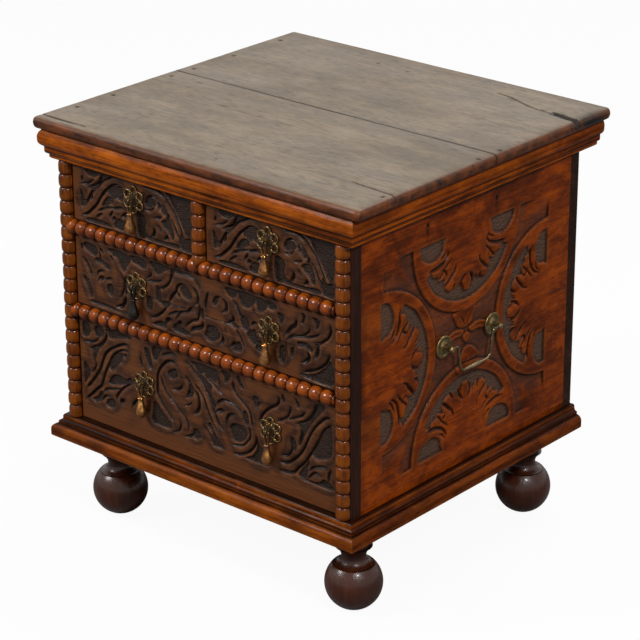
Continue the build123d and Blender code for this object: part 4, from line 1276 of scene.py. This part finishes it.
def resampled(profile, spacing):
    """A profile with more points, so that no two neighbours are further apart than spacing."""
    parts = []
    for start, end in zip(profile[:-1], profile[1:]):
        count = max(1, math.ceil(np.linalg.norm(end - start) / spacing))
        parts.append(start + (end - start) * np.arange(count)[:, None] / count)
    return np.vstack(parts + [profile[-1:]])


def hollows_and_noses(profile):
    """How far each point of a profile lies in a hollow or on a nose: its offset from the mean of its
    neighbours within a few steps."""
    reach = 5
    padded = np.pad(profile, [(reach, reach), (0, 0)], mode="edge")
    mean = sum(padded[k : k + len(profile)] for k in range(2 * reach + 1)) / (2 * reach + 1)
    heading = np.gradient(profile, axis=0)
    outward = np.stack([heading[:, 1], -heading[:, 0]], axis=1)
    outward /= np.maximum(np.linalg.norm(outward, axis=1), 1e-6)[:, None]
    offset = np.sum((profile - mean) * outward, axis=1)
    return np.clip(-offset * 1.6, 0, 1), np.clip(offset * 1.6, 0, 1)


def moulding_run(shell, profile, corner, seed, overall_darkening, quirks):
    """One straight run: the profile slides along it and its ends move out with the mitre. corner gives,
    for each profile point's reach, the run's start and end points. One number darkens the whole run a
    little unevenly; quirks are the heights of black lines of painted shade and grime, and the hollows
    get painted shade too."""
    profile = resampled(profile, 0.6)
    # Painted shade in the profile's hollows, and black lines of painted shade and grime at the quirks
    grime, rubbed = hollows_and_noses(profile)
    for height in quirks:
        grime = np.maximum(grime, np.exp(-(((profile[:, 1] - height) / 0.9) ** 2)))
    start, end = corner(profile[:, 0])
    length = np.linalg.norm(end[0] - start[0])
    t = np.linspace(0, 1, round(length / 5) + 1)[:, None, None]
    points = start + (end - start) * t
    heights = np.broadcast_to(profile[:, 1:], (len(t), len(profile), 1))
    points = np.concatenate([points, heights], axis=-1)
    walk = t[:, :, 0] * length + seed * 500
    height = profile[None, :, 1]
    wear = 0.75 + 0.55 * soft_noise(walk, height, 22, seed)
    dirt_and_shade = 0.8 + 0.4 * soft_noise(walk, height, 30, seed + 1)
    darkened = np.clip(1.3 * grime * dirt_and_shade + overall_darkening * dirt_and_shade, 0, 1)
    shell.rod(points, grime=darkened, rubbed=np.clip(rubbed * wear, 0, 1))


def front_run(reach):
    """The front run's two ends, mitred."""
    x = half_body + reach
    y = front_y - reach
    return np.stack([-x, y], axis=1), np.stack([x, y], axis=1)


def side_run(side, rear):
    """A side run's ends: mitred at the front and square at the rear."""

    def ends(reach):
        x = side * (half_body + reach)
        return np.stack([x, front_y - reach], axis=1), np.stack([x, np.full_like(x, rear)], axis=1)

    return ends


def mouldings():
    """Cornice and base, three runs each: the profile, the rear end's place, the first run's seed, the
    overall darkening and the quirks of each. The base is darkened much more than the cornice."""
    kinds = {
        "cornice": (cornice_profile(), cornice_high[1], 41, 0.06, (470, 478.3, 484.2, 505)),
        "base_moulding": (base_profile(), base_high[1], 46, 0.54, (127.3, 130.4, 138.8)),
    }
    for kind, (profile, rear, seed, overall_darkening, quirks) in kinds.items():
        runs = {"front": front_run, "left": side_run(-1, rear), "right": side_run(1, rear)}
        for place, (name, corner) in enumerate(runs.items()):
            shell = Shell()
            moulding_run(shell, profile, corner, seed + place, overall_darkening, quirks)
            node = f"{name}_{kind}"
            material = moulding_walnut_x if name == "front" else moulding_walnut_y_shaded
            make_piece(f"worn_{node}", shell, material, "carcass", [node])


mouldings()

# ---------------------------------------------------------------- top boards

nose_radius = 6.5
joint_round = 1.0


def plank_lines(low, high, spacing, fine_low, fine_high):
    """Grid lines across a board, with extra ones over each rounded edge, closest at the edge itself."""
    nose = (1 - np.cos(np.linspace(0, np.pi / 2, 7)))[:-1]
    middle = np.linspace(low + fine_low, high - fine_high, round((high - low) / spacing))
    return np.concatenate([low + fine_low * nose, middle, high - (fine_high * nose)[::-1]])


def rounding(distance, radius):
    """How far into an edge's rounding a point lies: the radius at the edge, 0 inside."""
    return np.clip(radius - distance, 0, radius)


def damage(xx, yy, cracks, dents):
    """How deep the cracks and dents go at each point. A crack is a V cut along a curve, shallower at its
    tips, given by its points, half width and depth; a dent is a round hollow, given by its middle, radius
    and depth."""
    cut = np.zeros_like(xx)
    for points, width, deep in cracks:
        path = curve_through(points, 2.0)
        close = np.interp(xx, path[:, 0], path[:, 1], left=1e4, right=1e4)
        tip = np.interp(xx, path[[0, 3, -4, -1], 0], [0.2, 1, 1, 0.2])
        cut = np.maximum(cut, deep * tip * np.clip(1 - np.abs(yy - close) / width, 0, 1))
    for centre_x, centre_y, radius, deep in dents:
        distance = np.hypot(xx - centre_x, yy - centre_y)
        cut = np.maximum(cut, deep * (1 - smooth_step(distance / radius)))
    return cut


def top_plank(name, joint_side, cracks, dents, seed):
    """A plank of the top: an upper and a lower sheet whose outer edges bend over in a nosing and whose
    joint edge, at the rear where joint_side is 1 and at the front where it is -1, is only eased."""
    node = f"{name}_top_board"
    low, high = node_box(node)
    ease_low, ease_high = (nose_radius, joint_round) if joint_side > 0 else (joint_round, nose_radius)
    x = plank_lines(low[0], high[0], 2.3, nose_radius, nose_radius)
    y = plank_lines(low[1], high[1], 1.25, ease_low, ease_high)
    xx, yy = np.meshgrid(x, y)
    across = np.maximum(rounding(xx - low[0], nose_radius), rounding(high[0] - xx, nose_radius))
    front, rear = rounding(yy - low[1], ease_low), rounding(high[1] - yy, ease_high)
    along = np.where(front > 0, front, rear)
    eased = np.where(yy < (low[1] + high[1]) / 2, ease_low, ease_high)
    joint_zone = eased == joint_round
    span = np.where(joint_zone, joint_round, nose_radius)
    joint_reach = np.maximum(along / joint_round, across / nose_radius) * span
    reach = np.where(joint_zone, joint_reach, np.hypot(along, across))
    over = np.maximum(reach / span, 1)
    drop = span * (1 - np.sqrt(np.clip(1 - (np.minimum(reach, span) / span) ** 2, 0, 1)))
    end_drop = nose_radius - np.sqrt(np.clip(nose_radius**2 - across**2, 0, None))
    drop = np.where(joint_zone & (across > 0), end_drop, drop)
    pull_x = np.where(joint_zone, 0, across * (1 - 1 / over))
    pull_y = np.where(joint_zone, 0, along * (1 - 1 / over))
    xx = xx + pull_x * np.sign(-xx)
    yy = yy + pull_y * np.sign((low[1] + high[1]) / 2 - yy)
    wear = 0.22 * (1 + soft_noise(xx, yy * 2, 60, seed)) + 0.05 * (1 + soft_noise(xx, yy * 6, 16, seed + 1))
    cut = damage(xx, yy, cracks, dents)
    inner = np.clip(1 - drop / 2, 0, 1)
    top = np.stack([xx, yy, high[2] - drop - wear * inner - cut], axis=-1)
    bottom = np.stack([xx, yy, low[2] + drop], axis=-1)
    edge = np.clip(drop / nose_radius, 0, 1)
    worn = smooth_step(edge * 3) * (0.75 + 0.3 * soft_noise(xx, yy, 35, seed + 2))
    from_joint = high[1] - yy if joint_side > 0 else yy - low[1]
    # Grime along the joint, and grime with painted shade in the cracks and dents
    dirt_and_shade = np.clip(cut * 1.3 + np.exp(-np.clip(from_joint, 0, None) / 1.1), 0, 1)
    from_edge = np.minimum(xx - low[0], high[0] - xx)
    from_edge = np.minimum(from_edge, yy - low[1] if joint_side > 0 else high[1] - yy)
    handled = np.exp(-from_edge / 8) * (0.75 + 0.5 * soft_noise(xx, yy, 42, seed + 3))
    worn = np.clip(np.maximum(worn, handled) * (1 - edge), 0, 1)
    shell = Shell()
    upper = shell.grid(top, grime=dirt_and_shade, rubbed=worn, tint=edge)
    lower = shell.grid(bottom[::-1], tint=1.0)
    shell.join(np.stack([rim_of(upper), rim_of(lower[::-1])]), wrap=True)
    make_piece(f"worn_{node}", shell, top_oak_with_sheen, "carcass", [node])


rear_cracks = [
    ([(112, 190), (134, 186), (156, 178), (182, 170), (216, 167)], 1.5, 2.0),
    ([(206, 169), (222, 167), (236, 164), (264, 162)], 6.0, 4.5),
]
front_cracks = [
    ([(-264, -217), (-230, -219), (-200, -219), (-172, -218)], 1.8, 2.0),
    ([(182, -164), (205, -167), (264, -172)], 1.5, 1.6),
    ([(-120, -60), (-60, -62), (10, -63)], 0.9, 0.5),
]
rear_dents = [
    (-233, 188, 4.4, 1.3), (-233, 100, 4.4, 1.3), (-233, 27, 4.4, 1.3), (-73, 191, 3.4, 1.0),
    (-23, 187, 3.4, 1.0), (243, 22, 4.4, 1.3),
]
front_dents = [
    (-233, -13, 4.4, 1.3), (-233, -113, 4.4, 1.3), (-233, -173, 4.4, 1.3), (243, -17, 4.4, 1.3),
    (240, -181, 4.4, 1.3), (20, -205, 3.4, 0.9),
]
top_plank("front", 1, front_cracks, front_dents, 51)
top_plank("rear", -1, rear_cracks, rear_dents, 52)

# ---------------------------------------------------------------- rosettes

drawers = ("top_left_drawer", "top_right_drawer", "middle_drawer", "bottom_drawer")

# Each pull's drawer, and where its pivot is across and up
pull_places = {
    "top_left": ("top_left_drawer", -102.05, 445.95),
    "top_right": ("top_right_drawer", 105.05, 445.95),
    "middle_left": ("middle_drawer", -101.5, 339.45),
    "middle_right": ("middle_drawer", 105.0, 339.45),
    "bottom_left": ("bottom_drawer", -94.0, 216.15),
    "bottom_right": ("bottom_drawer", 106.0, 216.15),
}

# Circles about a pull's middle, on which its lobes, wires and balls lie, but for lobe_wire_circle, which
# is about a lobe's middle; then the wires' half widths and heights
lobe_circle = 11.4
lobe_wire_circle = 5.1
boss_wire_circle = 6.4
ball_circle = 12.1
small_ball_circle = 7.9
lobe_wire = (0.55, 0.75)
boss_wire = (0.5, 0.5)
plate_y = front_y - 1.5
ball_y = front_y - 1.35


def raised_wire(shell, path, half_width, height):
    """Half-round wire laid on a rosette's plate along a path of (x, z) points."""
    heading = np.gradient(path, axis=0)
    heading /= np.linalg.norm(heading, axis=1)[:, None]
    sideways = np.stack([-heading[:, 1], heading[:, 0]], axis=1)
    angle = np.linspace(0, np.pi, 7)
    offset = half_width * np.cos(angle)
    flat = path[:, None] + sideways[:, None] * offset[:, None]
    rise = np.broadcast_to(plate_y + 0.2 - (height + 0.2) * np.sin(angle), flat.shape[:2])
    shell.rod(np.stack([flat[..., 0], rise, flat[..., 1]], axis=-1), rubbed=0.8)


def knob(shell, x, z, radius):
    """A small ball half sunk in a rosette's plate: rings about an axis square to the front, as wide as the
    sine of their angle from its pole, with a tiny flat at each pole."""
    polar, round_it = np.meshgrid(np.linspace(0.05, np.pi - 0.05, 8), full_turn(12), indexing="ij")
    ring = radius * np.sin(polar)
    points = [x + ring * np.cos(round_it), ball_y - radius * np.cos(polar), z + ring * np.sin(round_it)]
    shell.rod(np.stack(points, axis=-1), rubbed=0.8)


def on_circle(x, z, radius, degrees):
    """Points of a circle in the front's plane."""
    angle = np.radians(degrees)
    return np.stack([x + radius * np.cos(angle), z + radius * np.sin(angle)], axis=-1)


def rosette_trim(shell, x, z):
    """What is raised on one plate: for each of its six lobes a wire round the lobe, a short one round the
    boss, a ball between it and the next lobe and two small balls nearer the boss."""
    for outward in range(90, 450, 60):
        between = outward + 30
        lobe_x, lobe_z = on_circle(x, z, lobe_circle, outward)
        lobe_path = on_circle(lobe_x, lobe_z, lobe_wire_circle, outward + np.linspace(-125, 125, 25))
        raised_wire(shell, lobe_path, *lobe_wire)
        boss_path = on_circle(x, z, boss_wire_circle, between + np.linspace(-26, 26, 9))
        raised_wire(shell, boss_path, *boss_wire)
        knob(shell, *on_circle(x, z, ball_circle, between), 1.3)
        for turned in (-15, 15):
            knob(shell, *on_circle(x, z, small_ball_circle, outward + turned), 0.9)


def rosettes(drawer):
    """The pierced plates of one drawer as modelled, with their raised trim."""
    node = f"{drawer}_rosettes"
    shell = Shell()
    shell.triangles(*cad_triangles(node))
    for home, x, z in pull_places.values():
        if home == drawer:
            rosette_trim(shell, x, z)
    make_piece(f"cast_{node}", shell, rosette_brass, drawer, [node])


for drawer in drawers:
    rosettes(drawer)

# ---------------------------------------------------------------- drops and bails

pivot_y = front_y - 8.0

# Below the pivot, as (radius, depth): a tip, a full belly and a long neck up to the collar
pear_points = [
    (0.5, 40.9), (2.6, 40.4), (5.2, 38.2), (6.6, 34.8), (6.3, 31.0), (5.0, 26.6), (3.8, 22.5), (3.1, 19.2),
    (3.1, 17.4), (3.9, 16.6), (4.0, 15.6), (3.1, 14.7),
]

# The grip of a bail: half its length, its radius at the ends, how much more it has in the middle, and
# the radius of the wire that the bail is bent from
grip_half = 19
grip_end_radius = 1.75
grip_swell = 1.3
bail_wire_radius = 1.7


def drop(pull, x, z):
    """A pear drop: its stirrup as modelled and dark round the pivot, its body turned to a fuller pear that
    is darker at the back, painted shade with some tarnish where it faces the board."""
    node = f"{pull}_drop"
    shell = Shell()
    points, corners = cad_triangles(node)
    shell.triangles(points, corners, grime=smooth_step((points[:, 2] - z + 15) / 4))
    profile = curve_through(pear_points, 0.6)
    angle = full_turn(28)
    radius, depth = profile[:, :1], profile[:, 1:]
    rings = [x + radius * np.cos(angle), pivot_y + radius * np.sin(angle), z - depth + 0 * angle]
    # The back of the pear, which faces the board, is darker: painted shade with some tarnish
    shell.rod(np.stack(rings, axis=-1), grime=smooth_step(0.3 + 0.9 * np.sin(angle)))
    material = dark_iron if pull == "middle_left" else drop_brass
    make_piece(f"cast_{node}", shell, material, node, [node])


def bail(side):
    """A bail as modelled, with a grip that swells towards the middle by the square of a cosine."""
    node = "left_bail" if side < 0 else "right_bail"
    low, high = node_box(node)
    shell = Shell()
    shell.triangles(*cad_triangles(node))
    along = np.linspace(-1, 1, 25)[:, None]
    angle = full_turn(20)
    radius = grip_end_radius + grip_swell * np.cos(along * np.pi / 2) ** 2
    x = (low[0] + high[0]) / 2 + radius * np.cos(angle)
    y = (low[1] + high[1]) / 2 + grip_half * along + 0 * angle
    z = low[2] + bail_wire_radius + radius * np.sin(angle)
    shell.rod(np.stack([x, y, z], axis=-1), rubbed=0.6)
    make_piece(f"cast_{node}", shell, bail_brass, node, [node])


for pull, (_, x, z) in pull_places.items():
    drop(pull, x, z)
for side in (-1, 1):
    bail(side)

# ---------------------------------------------------------------- CAD nodes that keep their own shape

kept_finishes = {
    "front_stiles": stile_oak,
    "drawer_rails": frame_oak,
    "top_rail": frame_oak,
    "bottom_rail": frame_oak,
    "back_boards": back_oak,
    "bottom_board": back_oak,
    "drawer_divider": back_oak,
    "drawer_runners": back_oak,
    "side_handle_posts": handle_brass,
    "side_handle_roses": handle_brass,
}
for foot in ("front_left", "front_right", "rear_left", "rear_right"):
    kept_finishes[f"{foot}_foot"] = foot_walnut
for drawer in drawers:
    for lining in ("sides", "back", "bottom"):
        kept_finishes[f"{drawer}_{lining}"] = lining_oak
    kept_finishes[f"{drawer}_split_pins"] = pin_brass
for node, material in kept_finishes.items():
    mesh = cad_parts[node].data
    mesh.materials.clear()
    mesh.materials.append(material)

# ---------------------------------------------------------------- floor, lights and camera

chest_middle = (0, 0, 0.28)


def floor_finish():
    """A matt floor that glows nearly white to the camera, through which a soft shadow still shows, and is
    plain grey to all other light."""
    material = bpy.data.materials.new("pale_floor")
    material.use_nodes = True
    nodes, links = material.node_tree.nodes, material.node_tree.links
    shader = nodes["Principled BSDF"]
    shader.inputs["Base Color"].default_value = (0.22, 0.22, 0.22, 1)
    shader.inputs["Roughness"].default_value = 0.9
    shader.inputs["Specular IOR Level"].default_value = 0.1
    glow = nodes.new("ShaderNodeEmission")
    glow.inputs["Strength"].default_value = 1.12
    path = nodes.new("ShaderNodeLightPath")
    share = nodes.new("ShaderNodeMath")
    share.operation = "MULTIPLY"
    share.inputs[1].default_value = 0.84
    blend = nodes.new("ShaderNodeMixShader")
    links.new(path.outputs["Is Camera Ray"], share.inputs[0])
    links.new(share.outputs[0], blend.inputs["Fac"])
    links.new(shader.outputs[0], blend.inputs[1])
    links.new(glow.outputs[0], blend.inputs[2])
    links.new(blend.outputs[0], nodes["Material Output"].inputs["Surface"])
    return material


def floor():
    """A wide flat square under the feet."""
    half = 8.0
    mesh = bpy.data.meshes.new("floor")
    corners = [(-half, -half, 0), (half, -half, 0), (half, half, 0), (-half, half, 0)]
    mesh.from_pydata(corners, [], [(0, 1, 2, 3)])
    mesh.materials.append(floor_finish())
    piece = bpy.data.objects.new("floor", mesh)
    bpy.context.scene.collection.objects.link(piece)


def area_light(name, place, size, power):
    """A square lamp at a place, facing the chest's middle. Sizes are in metres, power in watts."""
    data = bpy.data.lights.new(name, "AREA")
    data.shape = "RECTANGLE"
    data.size = data.size_y = size
    data.energy = power
    lamp = bpy.data.objects.new(name, data)
    place, target = np.array(place, float), np.array(chest_middle, float)
    back = (place - target) / np.linalg.norm(place - target)
    lamp.location = place
    lamp.rotation_euler = (math.acos(back[2]), 0, math.atan2(back[0], -back[1]))
    bpy.context.scene.collection.objects.link(lamp)


def world_light(strength, seen_strength):
    """An even white surround: dim as a light on the object, white to the camera and in reflections."""
    world = bpy.data.worlds.new("studio")
    world.use_nodes = True
    nodes, links = world.node_tree.nodes, world.node_tree.links
    path = nodes.new("ShaderNodeLightPath")
    seen = nodes.new("ShaderNodeMath")
    seen.operation = "MAXIMUM"
    level = nodes.new("ShaderNodeMapRange")
    level.inputs["To Min"].default_value = strength
    level.inputs["To Max"].default_value = seen_strength
    links.new(path.outputs["Is Camera Ray"], seen.inputs[0])
    links.new(path.outputs["Is Glossy Ray"], seen.inputs[1])
    links.new(seen.outputs[0], level.inputs["Value"])
    links.new(level.outputs["Result"], nodes["Background"].inputs["Strength"])
    nodes["Background"].inputs["Color"].default_value = (1, 1, 1, 1)
    bpy.context.scene.world = world


def camera():
    """A long lens from the front right and above, with a hair of roll."""
    data = bpy.data.cameras.new("camera")
    data.lens = 143.98
    data.sensor_width = 36
    eye = bpy.data.objects.new("camera", data)
    eye.location = (1.8695, -2.1689, 1.4516)
    eye.rotation_euler = (math.radians(67.317), math.radians(0.2076), math.radians(40.754))
    bpy.context.scene.collection.objects.link(eye)
    bpy.context.scene.camera = eye


floor()
area_light("key", (-1.5, -2.3, 2.4), 0.9, 84)
area_light("right_box", (2.5, -1.4, 2.7), 0.45, 82)
area_light("overhead", (0.3, 1.2, 3.0), 1.6, 48)
world_light(0.28, 1.0)
camera()
bpy.context.scene.view_settings.view_transform = "Standard"
